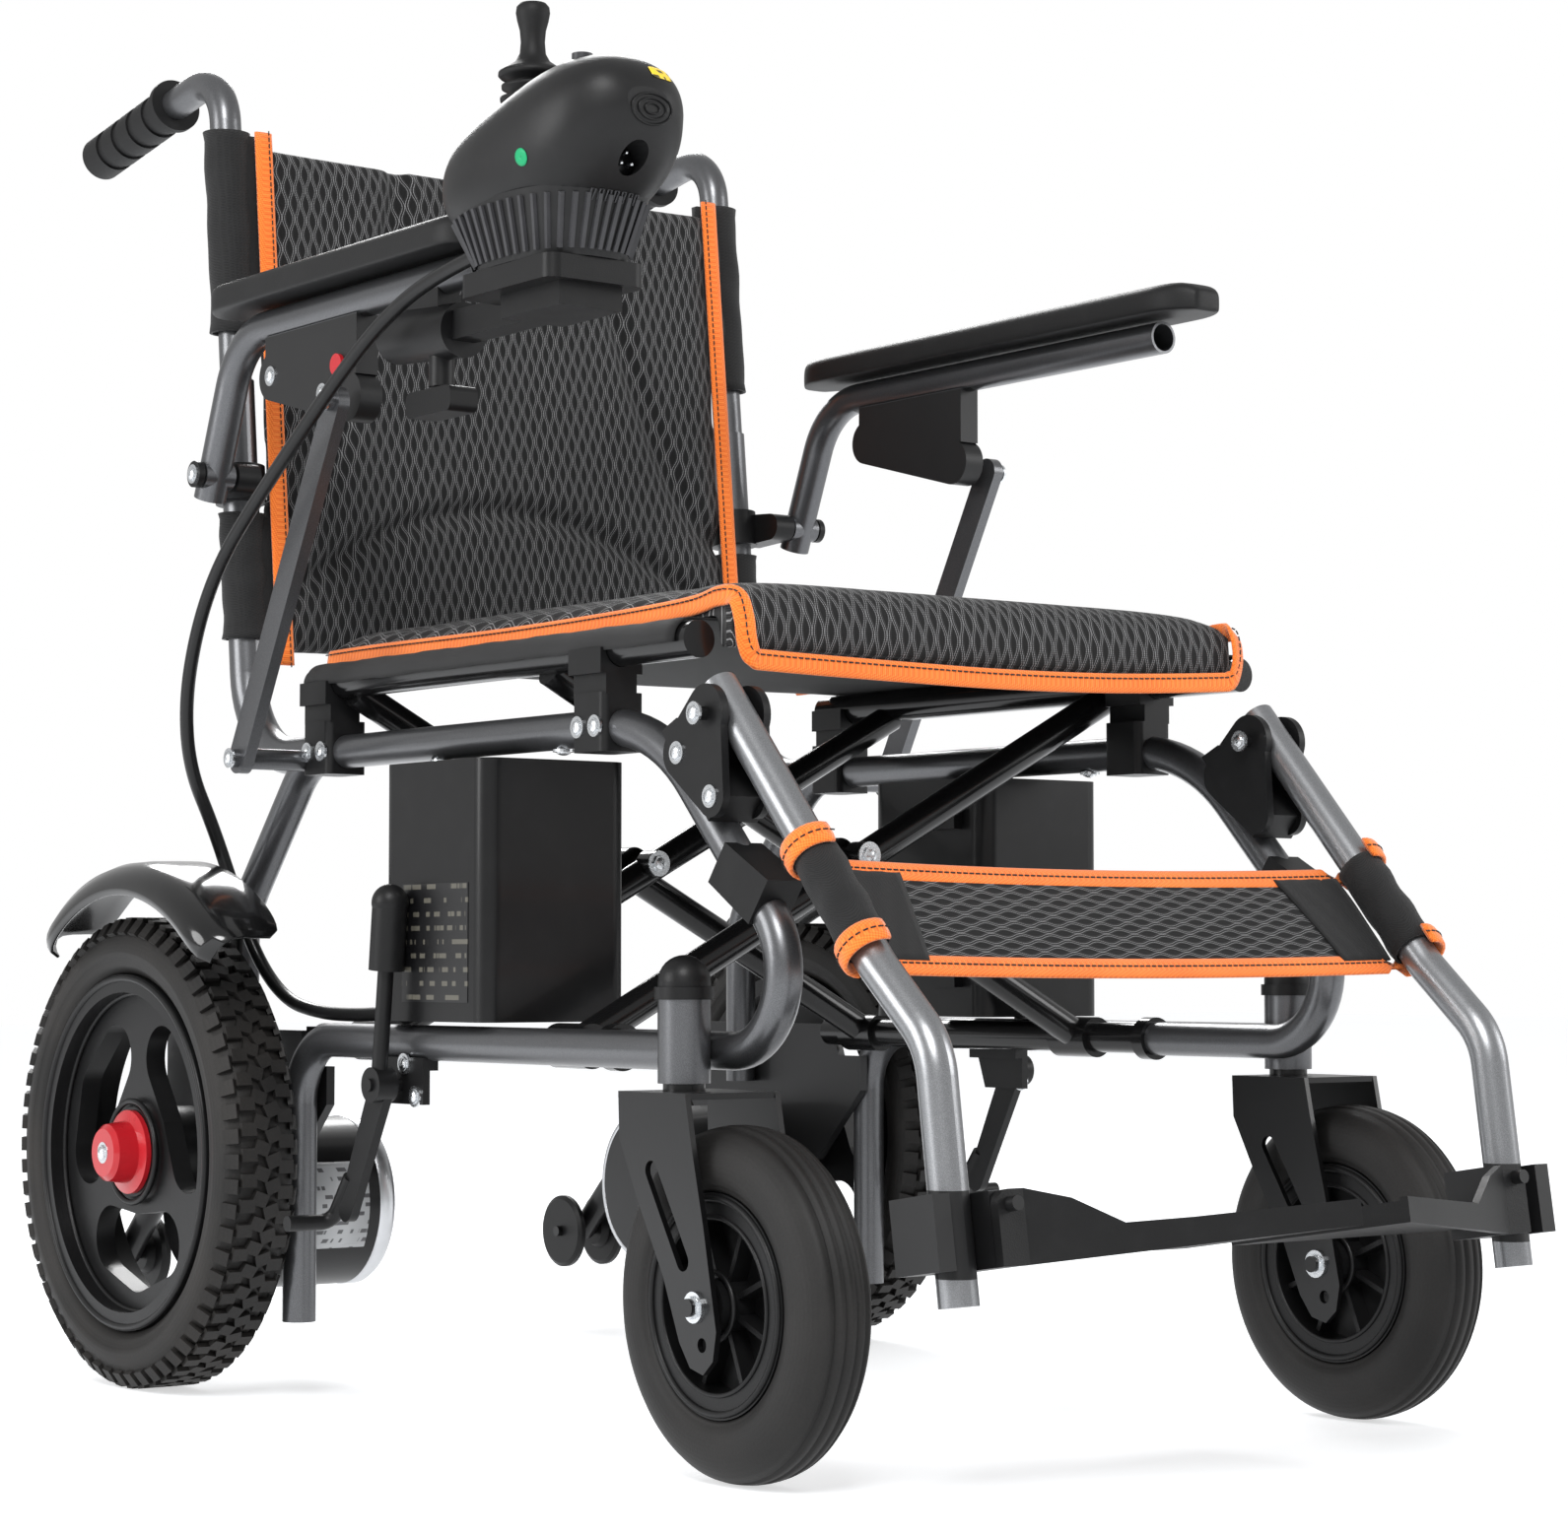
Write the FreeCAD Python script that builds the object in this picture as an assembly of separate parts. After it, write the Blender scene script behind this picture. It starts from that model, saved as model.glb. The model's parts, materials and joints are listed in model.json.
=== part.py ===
import FreeCAD, Part
import math
import os

from FreeCAD import Vector

# Folding power wheelchair. Millimetres, +Z up, front towards -Y, the sitter's left towards +X.
# Lengths along Y are counted from the front caster stems, and ORIGIN_Y moves the whole chair
# so that the origin is on the floor in the middle of its outline.
ORIGIN_Y = 238.18

# ---- overall and frame ----
TUBE_R = 11.0              # main side-frame tube, outer radius
TUBE_WALL = 1.8
SIDE_X = 213.0             # plane of the side frame's upper rail and front leg
OUTER_X = 238.0            # plane of the outer lower rail and the caster stem
UPPER_RAIL_Z = 424.0
LOWER_RAIL_Z = 235.0
UPPER_RAIL_REAR_Y = 464.0
REAR_LEG_Y = 555.0
REAR_LEG_KNEE_Z = 318.0
REAR_LEG_END_Z = 196.0
FRONT_CORNER_Y = 60.0      # where the upper rail would meet the front leg
FRONT_TOE_Y = -119.0       # where the front leg would meet the lower rail
FRONT_TOP_BEND = 120.0
FRONT_TOE_BEND = 45.0
INNER_RAIL_END_Y = 96.0
OUTER_RAIL_BEND_Y = 431.0
OUTER_RAIL_BEND = 42.0
OUTER_RAIL_FOOT_Z = 51.0
FIT = 0.05                 # running clearance of a pin in its hole, radial
GAP = 0.3                  # gap between faces that only lie near each other

# ---- back canes and push handles ----
CANE_R = 12.5
CANE_WALL = 1.4
CANE_INNER_R = 11.0
CANE_LEAN = 0.1            # rearward lean, mm per mm of height
CANE_CORNER_Y = 545.6
CANE_BEND = 66.0
CANE_SPLIT_Z = 690.0       # top of the lower cane
CANE_INSERT_Z = 640.0      # how deep the upper cane reaches
CANE_TOP_Z = 910.0
HANDLE_BEND = 36.0
HANDLE_END_Y = 772.0
HANDLE_END_Z = 886.0
GRIP_R = 16.0
GRIP_LEN = 118.0
GRIP_OVERHANG = 10.0

# ---- caster ----
CASTER_R = 98.0
CASTER_WIDTH = 46.0
CASTER_TRAIL = 56.0
CASTER_RIM_R = 61.5
CASTER_DISH_R = 47.0
CASTER_HUB_R = 15.0
CASTER_AXLE_R = 5.0
STEM_R = 9.0
STEM_HOUSING_R = 15.0
STEM_HOUSING_Z = (217.0, 264.0)
FORK_GAP = 58.0
FORK_PLATE = 3.5
FORK_CROWN_Z = 213.0
CAP_R = 17.0
CAP_TOP_Z = 289.0

# ---- drive wheel ----
WHEEL_Y = 555.0
WHEEL_R = 158.0
WHEEL_X = 280.0
WHEEL_WIDTH = 55.0
WHEEL_RIM_R = 119.0
WHEEL_RIM_FACE = 12.0      # rim face stands this far outboard of the tyre's middle plane
WHEEL_HUB_R = 30.0
WHEEL_AXLE_R = 10.0
KNOB_R = 21.0
KNOB_OUT_X = 318.0
KNOB_STEM_R = 12.0

# ---- motor ----
MOTOR_R = 58.0
MOTOR_Z = 120.0
MOTOR_X = (125.0, 226.0)
GEARBOX_X = (226.3, 249.0)
ANTITIP_Y = 748.0
ANTITIP_Z = 73.0
ANTITIP_R = 28.0
ANTITIP_X = 200.0
ANTITIP_WIDTH = 44.0

# ---- mudguard ----
GUARD_X = (262.0, 318.0)
GUARD_CENTRE = (537.0, 170.0)
GUARD_R = 181.0
GUARD_SKIN = 3.0
GUARD_FRONT_DEG = 46.0
GUARD_REAR_DEG = 132.0

# ---- seat and cross brace ----
SEAT_X = 215.0
SEAT_RAIL_R = 11.0
SEAT_RAIL_Z = 470.0
SEAT_RAIL_Y = (18.0, 452.0)
SADDLE_YS = (113.0, 433.0)
SADDLE_LEN = 34.0
COLLAR_R = 14.0
BRACE_RAIL_R = 10.0
BRACE_RAIL_END_Y = 444.0
BRACE_A_YS = (146.0, 376.0)
BRACE_B_YS = (172.0, 402.0)
BRACE_TUBE_R = 10.0
SLEEVE_R = 13.5
SLEEVE_LEN = 36.0
PIVOT_Z = 352.5
PIVOT_R = 6.0
SLING_T = 3.0
CUSHION_HALF = 200.0
CUSHION_Y = (2.0, 470.0)
CUSHION_TOP_Z = 507.0
ROLL_BOTTOM_Z = 455.0

# ---- backrest and calf strap ----
BACK_T = 24.0
BACK_Z = (488.0, 870.0)
BACK_HALF = 204.0
STRAP_T = 4.0

# ---- battery ----
BATTERY_X = (144.0, 250.0)
BATTERY_Y = (190.0, 310.0)
BATTERY_Z = (248.5, 409.0)
BATTERY_ROUND = 12.0

# ---- footrest ----
HANGER_HINGE = (-8.0, 425.0)
HANGER_POINTS = ((1.0, 442.0), (-142.0, 283.5), (-190.0, 241.0), (-209.5, 106.0))
HANGER_BENDS = (60.0, 45.0)
HANGER_X = 213.0
HANGER_BOLT_R = 4.0
EAR_T = 5.0
PLATE_PIVOT = (-204.0, 150.0)
PLATE_TILT = 8.7
PLATE_PIN_R = 4.0
PLATE_PIN_INSET = 8.0      # pin axis from the hanger's surface
PLATE_PIN_LIFT = 6.0
PLATE_T = 14.0
PLATE_INNER = 18.0
PLATE_FRONT = 98.0
PLATE_REAR = 34.0

# ---- armrest ----
ARM_X = 251.0
ARM_PIVOT = (530.0, 616.0)
ARM_PIN_R = 5.0
ARM_FRONT_Y = 126.0
ARM_FRONT_Y_RIGHT = 192.0  # the right armrest is shorter, to make room for the controller
ARM_TOP_Z = 708.0
ARM_BEND = 55.0
PAD_Y = (82.0, 512.0)
PAD_FRONT_Y_RIGHT = 188.0
PAD_Z = (719.5, 741.0)
PAD_WIDTH = 50.0
STRUT_X = 268.0
STRUT_T = 8.0
STRUT_W = 20.0
STRUT_FOOT = (452.0, 419.0)
STRUT_HEAD = (332.0, 640.0)

# ---- parking brake ----
BRAKE_X = 262.0
BRAKE_PIVOT = (292.0, 209.0)
BRAKE_ROD_R = 5.0

# ---- controller ----
POD_X = -262.0
STICK_PIVOT = (122.0, 776.0)
# length, bottom, top and half width of the pod's sections, from the nose back
POD_SLICES = (
    (3.0, 764.0, 780.0, 14.0), (12.0, 748.0, 795.0, 30.0), (30.0, 729.0, 803.0, 42.0),
    (58.0, 714.0, 804.0, 48.0), (92.0, 709.0, 796.0, 50.0), (122.0, 709.0, 787.0, 49.0),
    (150.0, 712.0, 777.0, 43.0), (172.0, 721.0, 763.0, 30.0), (182.0, 731.0, 752.0, 15.0),
)


def v(x, y, z):
    """A point of the chair."""
    return Vector(x, y, z)


def route(points, bends):
    """Wire of straight runs joined by tangent arcs, one bend radius per inner point."""
    edges = []
    start = points[0]
    for i in range(1, len(points) - 1):
        corner = points[i]
        a = (points[i - 1] - corner).normalize()
        b = (points[i + 1] - corner).normalize()
        half = a.getAngle(b) / 2
        reach = bends[i - 1] / math.tan(half)
        t1 = corner + a * reach
        t2 = corner + b * reach
        axis = (a + b).normalize()
        middle = corner + axis * (bends[i - 1] / math.sin(half) - bends[i - 1])
        edges.append(Part.LineSegment(start, t1).toShape())
        edges.append(Part.Arc(t1, middle, t2).toShape())
        start = t2
    edges.append(Part.LineSegment(start, points[-1]).toShape())
    return Part.Wire(edges)


def rod(points, bends, radius):
    """Round bar along a route."""
    if len(points) == 2:
        return cyl(points[0], points[1], radius)
    ring = Part.Circle(points[0], points[1] - points[0], radius).toShape()
    return route(points, bends).makePipeShell([Part.Wire([ring])], True, False)


def cyl(a, b, radius):
    """Cylinder between two points."""
    return Part.makeCylinder(radius, (b - a).Length, a, b - a)


def box(x, y, z):
    """Box from three (low, high) pairs, in any order."""
    xs, ys, zs = sorted(x), sorted(y), sorted(z)
    return Part.makeBox(xs[1] - xs[0], ys[1] - ys[0], zs[1] - zs[0], v(xs[0], ys[0], zs[0]))


def slab(points, x, thickness):
    """Plate cut to a (y, z) outline, from x outwards."""
    corners = [v(x, p[0], p[1]) for p in points]
    face = Part.Face(Part.makePolygon(corners + corners[:1]))
    return face.extrude(v(thickness, 0, 0))


def hull(circles, x, thickness):
    """Plate round two circles given as (y, z, r), from x; a negative thickness goes inwards."""
    if thickness < 0:
        x, thickness = x + thickness, -thickness
    (y0, z0, r0), (y1, z1, r1) = circles
    length = math.hypot(y1 - y0, z1 - z0)
    along = math.atan2(z1 - z0, y1 - y0)
    off = math.acos((r0 - r1) / length)
    corners = []
    for y, z, r, sign in ((y0, z0, r0, 1), (y1, z1, r1, 1), (y1, z1, r1, -1), (y0, z0, r0, -1)):
        corners.append((y + r * math.cos(along + sign * off), z + r * math.sin(along + sign * off)))
    plate = slab(corners, x, thickness)
    for y, z, r in circles:
        plate = plate.fuse(Part.makeCylinder(r, thickness, v(x, y, z), v(1, 0, 0)))
    return plate.removeSplitter()


def rounded(shape, radius, pick):
    """Fillet the edges that pick() accepts."""
    edges = [e for e in shape.Edges if pick(e)]
    return shape.makeFillet(radius, edges)


def along(edge, axis):
    """True for a straight edge along X, Y or Z (axis 0, 1 or 2)."""
    ends = [vertex.Point for vertex in edge.Vertexes]
    if len(ends) != 2 or edge.Curve.TypeId != "Part::GeomLine":
        return False
    step = ends[1] - ends[0]
    return abs(step[axis]) > 0.999 * step.Length


def ring(profile, y, z):
    """Solid turned about the axis along X through (y, z), from (x, r) points."""
    corners = [v(p[0], y, z + p[1]) for p in profile]
    face = Part.Face(Part.makePolygon(corners + corners[:1]))
    return face.revolve(v(0, y, z), v(1, 0, 0), 360)


def fused(first, *others):
    """One welded solid."""
    return first.fuse(list(others)).removeSplitter()


def mirrored(shape):
    """The same piece on the other side of the chair."""
    return shape.mirror(v(0, 0, 0), v(1, 0, 0))


def cane_y(z):
    """Where the cane's centre line stands at a height."""
    return CANE_CORNER_Y + (z - UPPER_RAIL_Z) * CANE_LEAN


def upper_route():
    """Upper rail: rear leg, rail, front leg, toe bend and the short inner lower rail."""
    return [
        v(SIDE_X, REAR_LEG_Y, REAR_LEG_END_Z),
        v(SIDE_X, REAR_LEG_Y, REAR_LEG_KNEE_Z),
        v(SIDE_X, UPPER_RAIL_REAR_Y, UPPER_RAIL_Z),
        v(SIDE_X, FRONT_CORNER_Y, UPPER_RAIL_Z),
        v(SIDE_X, FRONT_TOE_Y, LOWER_RAIL_Z),
        v(SIDE_X, INNER_RAIL_END_Y, LOWER_RAIL_Z),
    ]


UPPER_BENDS = [60.0, 60.0, FRONT_TOP_BEND, FRONT_TOE_BEND]


def outer_route(start_y):
    """Outer lower rail, from the stem housing back and down to its foot."""
    return [
        v(OUTER_X, start_y, LOWER_RAIL_Z),
        v(OUTER_X, OUTER_RAIL_BEND_Y, LOWER_RAIL_Z),
        v(OUTER_X, OUTER_RAIL_BEND_Y, OUTER_RAIL_FOOT_Z),
    ]


def cane_route(top_z):
    """Lower cane, from the upper rail's rear end up to a height."""
    return [
        v(SIDE_X, UPPER_RAIL_REAR_Y - 14, UPPER_RAIL_Z),
        v(SIDE_X, CANE_CORNER_Y, UPPER_RAIL_Z),
        v(SIDE_X, cane_y(top_z), top_z),
    ]


def side_frame():
    """Welded side frame with its stem housing and its lower cane."""
    upper = rod(upper_route(), UPPER_BENDS, TUBE_R)
    outer = rod(outer_route(0), [OUTER_RAIL_BEND], TUBE_R)
    cane = rod(cane_route(CANE_SPLIT_Z), [CANE_BEND], CANE_R)
    housing = cyl(v(OUTER_X, 0, STEM_HOUSING_Z[0]), v(OUTER_X, 0, STEM_HOUSING_Z[1]), STEM_HOUSING_R)
    tie = cyl(v(SIDE_X, 78, LOWER_RAIL_Z), v(OUTER_X, 78, LOWER_RAIL_Z), TUBE_R - 3)
    strut_lug = cyl(v(SIDE_X, STRUT_FOOT[0], STRUT_FOOT[1]), v(STRUT_X - 0.5, *STRUT_FOOT), 7)
    body = fused(upper, outer, cane, housing, tie, strut_lug)
    body = body.cut(rod(upper_route(), UPPER_BENDS, TUBE_R - TUBE_WALL))
    body = body.cut(rod(outer_route(STEM_HOUSING_R + 6), [OUTER_RAIL_BEND], TUBE_R - TUBE_WALL))
    socket_low = v(SIDE_X, cane_y(CANE_INSERT_Z - 4), CANE_INSERT_Z - 4)
    socket_top = v(SIDE_X, cane_y(CANE_SPLIT_Z + 20), CANE_SPLIT_Z + 20)
    body = body.cut(cyl(socket_low, socket_top, CANE_INNER_R + FIT))
    stem_low = v(OUTER_X, 0, STEM_HOUSING_Z[0] - 1)
    stem_top = v(OUTER_X, 0, STEM_HOUSING_Z[1] + 1)
    body = body.cut(cyl(stem_low, stem_top, STEM_R + FIT))
    return body


def back_cane():
    """Upper cane: slides into the lower one, then bends back into the push handle."""
    points = [
        v(SIDE_X, cane_y(CANE_INSERT_Z), CANE_INSERT_Z),
        v(SIDE_X, cane_y(CANE_TOP_Z + 4), CANE_TOP_Z + 4),
        v(SIDE_X, HANDLE_END_Y, HANDLE_END_Z),
    ]
    outer = rod(points, [HANDLE_BEND], CANE_INNER_R)
    return outer.cut(rod(points, [HANDLE_BEND], CANE_INNER_R - CANE_WALL))


def handle_axis():
    """Start point and direction of the push handle's straight end."""
    knee = v(SIDE_X, cane_y(CANE_TOP_Z + 4), CANE_TOP_Z + 4)
    end = v(SIDE_X, HANDLE_END_Y, HANDLE_END_Z)
    return end, (end - knee).normalize()


def push_grip():
    """Rubber grip pushed over the handle, closed behind, with finger ribs in its outline."""
    end, direction = handle_axis()
    tip = end + direction * GRIP_OVERHANG
    grip = cyl(tip - direction * GRIP_LEN, tip, GRIP_R)
    for k in range(4):
        low = tip - direction * (22 + 24 * k)
        groove = cyl(low - direction * 8, low, GRIP_R + 4)
        groove = groove.cut(cyl(low - direction * 9, low + direction, GRIP_R - 1.5))
        grip = grip.cut(groove)
    flange = cyl(tip - direction * GRIP_LEN, tip - direction * (GRIP_LEN - 5), GRIP_R + 3)
    grip = grip.fuse(flange)
    bore = cyl(end - direction * (GRIP_LEN + 20), end, CANE_INNER_R)
    return grip.cut(bore)


def saddle(y, frame):
    """Black saddle clamped to the upper rail, with an open cradle for the seat rail."""
    half = SADDLE_LEN / 2
    foot = box((SIDE_X - 15, SIDE_X + 15), (y - half, y + half), (UPPER_RAIL_Z - 15, UPPER_RAIL_Z + 20))
    neck = box((SEAT_X - 11, SEAT_X + 11), (y - half, y + half), (UPPER_RAIL_Z + 19, SEAT_RAIL_Z - 6))
    cradle = box((SEAT_X - 15, SEAT_X + 15), (y - half, y + half), (SEAT_RAIL_Z - 15, SEAT_RAIL_Z))
    foot = rounded(foot, 5, lambda e: along(e, 2))
    body = fused(foot, neck, cradle)
    body = body.cut(frame)
    inside = cyl(v(SIDE_X, y - half - 1, UPPER_RAIL_Z), v(SIDE_X, y + half + 1, UPPER_RAIL_Z), TUBE_R - 1)
    body = body.cut(inside)
    low, high = v(SEAT_X, y - half - 1, SEAT_RAIL_Z), v(SEAT_X, y + half + 1, SEAT_RAIL_Z)
    body = body.cut(cyl(low, high, SEAT_RAIL_R + GAP))
    opening = box((SEAT_X - SEAT_RAIL_R - GAP, SEAT_X + SEAT_RAIL_R + GAP), (y - half - 1, y + half + 1),
                  (SEAT_RAIL_Z, SEAT_RAIL_Z + 5))
    return largest(body.cut(opening))


def largest(shape):
    """The biggest solid of a shape, without stray chips inside a tube."""
    return sorted(shape.Solids, key=lambda s: s.Volume)[-1]


def hanger_points():
    """The footrest hanger's route."""
    return [v(HANGER_X, p[0], p[1]) for p in HANGER_POINTS]


def hinge_bracket(frame):
    """Black hinge block on the front leg: two ears round the hanger and a slab between them."""
    y, z = HANGER_HINGE
    inner = TUBE_R + 1.2
    pieces = []
    for side in (-1, 1):
        x = HANGER_X + side * inner
        ear = fused(
            hull(((y, z, 17), (18, 404, 14)), x, side * EAR_T),
            hull(((y, z, 15), (-14, 378, 12)), x, side * EAR_T),
            hull(((18, 404, 14), (-14, 378, 12)), x, side * EAR_T),
        )
        pieces.append(ear)
    slab_yz = ((34, 417), (19, 424), (-24, 378), (-12, 364))
    block = slab(slab_yz, HANGER_X - inner - EAR_T, 2 * (inner + EAR_T))
    bolt = cyl(v(HANGER_X - inner - EAR_T - 6, y, z), v(HANGER_X + inner + EAR_T + 6, y, z), HANGER_BOLT_R)
    body = fused(pieces[0], pieces[1], block, bolt)
    return largest(body.cut(frame))


def stop_clip(frame):
    """Black clip on the front leg that the hanger rests against."""
    clip = slab(((-22, 352), (-62, 330), (-44, 306), (-6, 330)), HANGER_X - 13, 26)
    clip = clip.cut(frame)
    clip = clip.cut(rod(upper_route(), UPPER_BENDS, TUBE_R - 1))
    clip = clip.cut(rod(hanger_points(), list(HANGER_BENDS), TUBE_R + GAP))
    return largest(clip)


def stem_cap():
    """Domed cap over the caster stem's nut."""
    base = STEM_HOUSING_Z[1]
    skirt = cyl(v(OUTER_X, 0, base), v(OUTER_X, 0, base + 7), CAP_R)
    dome = Part.makeSphere(CAP_R - 2, v(OUTER_X, 0, CAP_TOP_Z - CAP_R + 2))
    neck = cyl(v(OUTER_X, 0, base + 1), v(OUTER_X, 0, CAP_TOP_Z - CAP_R + 2), CAP_R - 2)
    body = fused(skirt, neck, dome)
    return body.cut(box((0, 400), (-60, 60), (base - 60, base)))


def arm_lug():
    """Clamp on the lower cane that carries the armrest's pivot pin."""
    y, z = ARM_PIVOT
    middle = v(SIDE_X, cane_y(z), z)
    lean = v(0, CANE_LEAN, 1).normalize()
    collar = cyl(middle - lean * 13, middle + lean * 13, CANE_R + 5)
    arm = hull(((cane_y(z), z, 12), (y, z, 10)), SIDE_X + 8, 17)
    pin = cyl(v(SIDE_X + 10, y, z), v(ARM_X + 15, y, z), ARM_PIN_R)
    head = cyl(v(ARM_X + 12.5, y, z), v(ARM_X + 17, y, z), ARM_PIN_R + 4)
    body = fused(collar, arm, pin, head)
    return body.cut(rod(cane_route(CANE_SPLIT_Z), [CANE_BEND], CANE_R))


def frame_fittings(frame):
    """The black plastic pieces bolted to the side frame."""
    pieces = [saddle(y, frame) for y in SADDLE_YS]
    pieces += [hinge_bracket(frame), stop_clip(frame), stem_cap(), arm_lug(), brake_bracket()]
    return Part.makeCompound(pieces)


def brace_rail():
    """Black lower rail that the cross brace turns on, with the collar that joins it."""
    joint = v(SIDE_X, INNER_RAIL_END_Y, LOWER_RAIL_Z)
    rail = cyl(joint, v(SIDE_X, BRACE_RAIL_END_Y, LOWER_RAIL_Z), BRACE_RAIL_R)
    plug = cyl(joint - v(0, 20, 0), joint, TUBE_R - TUBE_WALL)
    collar = cyl(joint, joint + v(0, 10, 0), COLLAR_R)
    tail = box((SIDE_X - 4, OUTER_X - 8), (BRACE_RAIL_END_Y - 16, BRACE_RAIL_END_Y - 6),
               (LOWER_RAIL_Z - 8, LOWER_RAIL_Z + 8))
    outer = rod(outer_route(0), [OUTER_RAIL_BEND], TUBE_R)
    return fused(rail, plug, collar, tail).cut(outer)


def battery_box():
    """Battery case with rounded ends and a carry loop on its inner top edge."""
    body = box(BATTERY_X, BATTERY_Y, BATTERY_Z)
    body = rounded(body, BATTERY_ROUND, lambda e: along(e, 2))
    clip = box((BATTERY_X[0] - 7, BATTERY_X[0] + 10), (BATTERY_Y[0] + 22, BATTERY_Y[0] + 52),
               (BATTERY_Z[1] - 34, BATTERY_Z[1] - 20))
    low = clip.copy()
    low.translate(v(0, 0, BATTERY_Z[0] - BATTERY_Z[1] + 54))
    return fused(body, clip, low)


def drive_motor():
    """Motor, gearbox, its plate and the anti-tip arm, bolted together as one unit."""
    axis = v(1, 0, 0)
    motor = Part.makeCylinder(MOTOR_R, MOTOR_X[1] - MOTOR_X[0], v(MOTOR_X[0], WHEEL_Y, MOTOR_Z), axis)
    motor = rounded(motor, 5, lambda e: abs(e.BoundBox.XMin - MOTOR_X[0]) < 0.1 and e.BoundBox.XLength < 0.1)
    gearbox = hull(((WHEEL_Y, MOTOR_Z, 46), (WHEEL_Y, WHEEL_R, 38)), MOTOR_X[1], GEARBOX_X[1] - MOTOR_X[1])
    axle = cyl(v(GEARBOX_X[1], WHEEL_Y, WHEEL_R), v(WHEEL_X + 6, WHEEL_Y, WHEEL_R), WHEEL_AXLE_R)
    outline = ((418, 217), (418, 192), (470, 140), (600, 140),
               (640, 195), (640, 240), (452, 240), (444, 217))
    plate = slab(outline, OUTER_X - 18, 6)
    arm = rod([v(ANTITIP_X, 585, 150), v(ANTITIP_X, 690, 128), v(ANTITIP_X, ANTITIP_Y, ANTITIP_Z)], [40], 9)
    pin = cyl(v(ANTITIP_X - 26, ANTITIP_Y, ANTITIP_Z), v(ANTITIP_X + 26, ANTITIP_Y, ANTITIP_Z), 4)
    clamp = box((ANTITIP_X - 12, OUTER_X - 18), (590, 625), (135, 160))
    body = fused(motor, gearbox, axle, plate, clamp, arm, pin)
    outer = rod(outer_route(0), [OUTER_RAIL_BEND], TUBE_R)
    leg = cyl(v(SIDE_X, REAR_LEG_Y, REAR_LEG_END_Z), v(SIDE_X, REAR_LEG_Y, 300), TUBE_R)
    return body.cut(outer).cut(leg)


def anti_tip_wheel():
    """Spool-shaped anti-tip wheel: two discs on a waisted hub, split for its arm."""
    half = ANTITIP_WIDTH / 2
    discs = []
    for side in (-1, 1):
        x0 = ANTITIP_X + side * 9.5
        profile = [(x0, 4.05), (x0, 12), (x0 + side * 5, 15), (x0 + side * 5, ANTITIP_R - 3),
                   (x0 + side * 7, ANTITIP_R), (ANTITIP_X + side * (half - 2), ANTITIP_R),
                   (ANTITIP_X + side * half, ANTITIP_R - 3), (ANTITIP_X + side * half, 4.05)]
        discs.append(ring(profile, ANTITIP_Y, ANTITIP_Z))
    return Part.makeCompound(discs)


def mudguard():
    """Curved guard over the drive wheel with a rolled outer lip and a stay to the frame."""
    x0, x1 = GUARD_X
    y0, z0 = GUARD_CENTRE
    outer = ring([(x0, GUARD_R - GUARD_SKIN), (x0, GUARD_R), (x1 - 8, GUARD_R), (x1, GUARD_R - 7),
                  (x1, GUARD_R - 20), (x1 - GUARD_SKIN, GUARD_R - 20), (x1 - GUARD_SKIN, GUARD_R - 9),
                  (x1 - 9, GUARD_R - GUARD_SKIN)], y0, z0)
    far = 400.0
    a, b = math.radians(GUARD_FRONT_DEG), math.radians(GUARD_REAR_DEG)
    wedge = []
    steps = 6
    for k in range(steps + 1):
        t = a + (b - a) * k / steps
        wedge.append((y0 - far * math.cos(t), z0 + far * math.sin(t)))
    keep = slab([(y0, z0)] + wedge, x0 - 5, x1 - x0 + 10)
    guard = outer.common(keep)
    stay_y, stay_z = REAR_LEG_Y - 6, GUARD_R + z0
    foot_z = REAR_LEG_KNEE_Z - 20
    stay = box((SIDE_X + 6, x0 + 20), (stay_y - 9, stay_y + 9), (stay_z - 13, stay_z))
    above = GUARD_R - 1
    stay = stay.cut(ring([(x0 - 60, above), (x0 - 60, above + 40), (x1, above + 40), (x1, above)], y0, z0))
    post = box((SIDE_X + 6, SIDE_X + 14), (stay_y - 9, stay_y + 9), (foot_z - 20, stay_z - 6.5))
    body = largest(fused(guard, stay, post))
    return largest(body.cut(rod(upper_route(), UPPER_BENDS, TUBE_R)))


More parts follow.
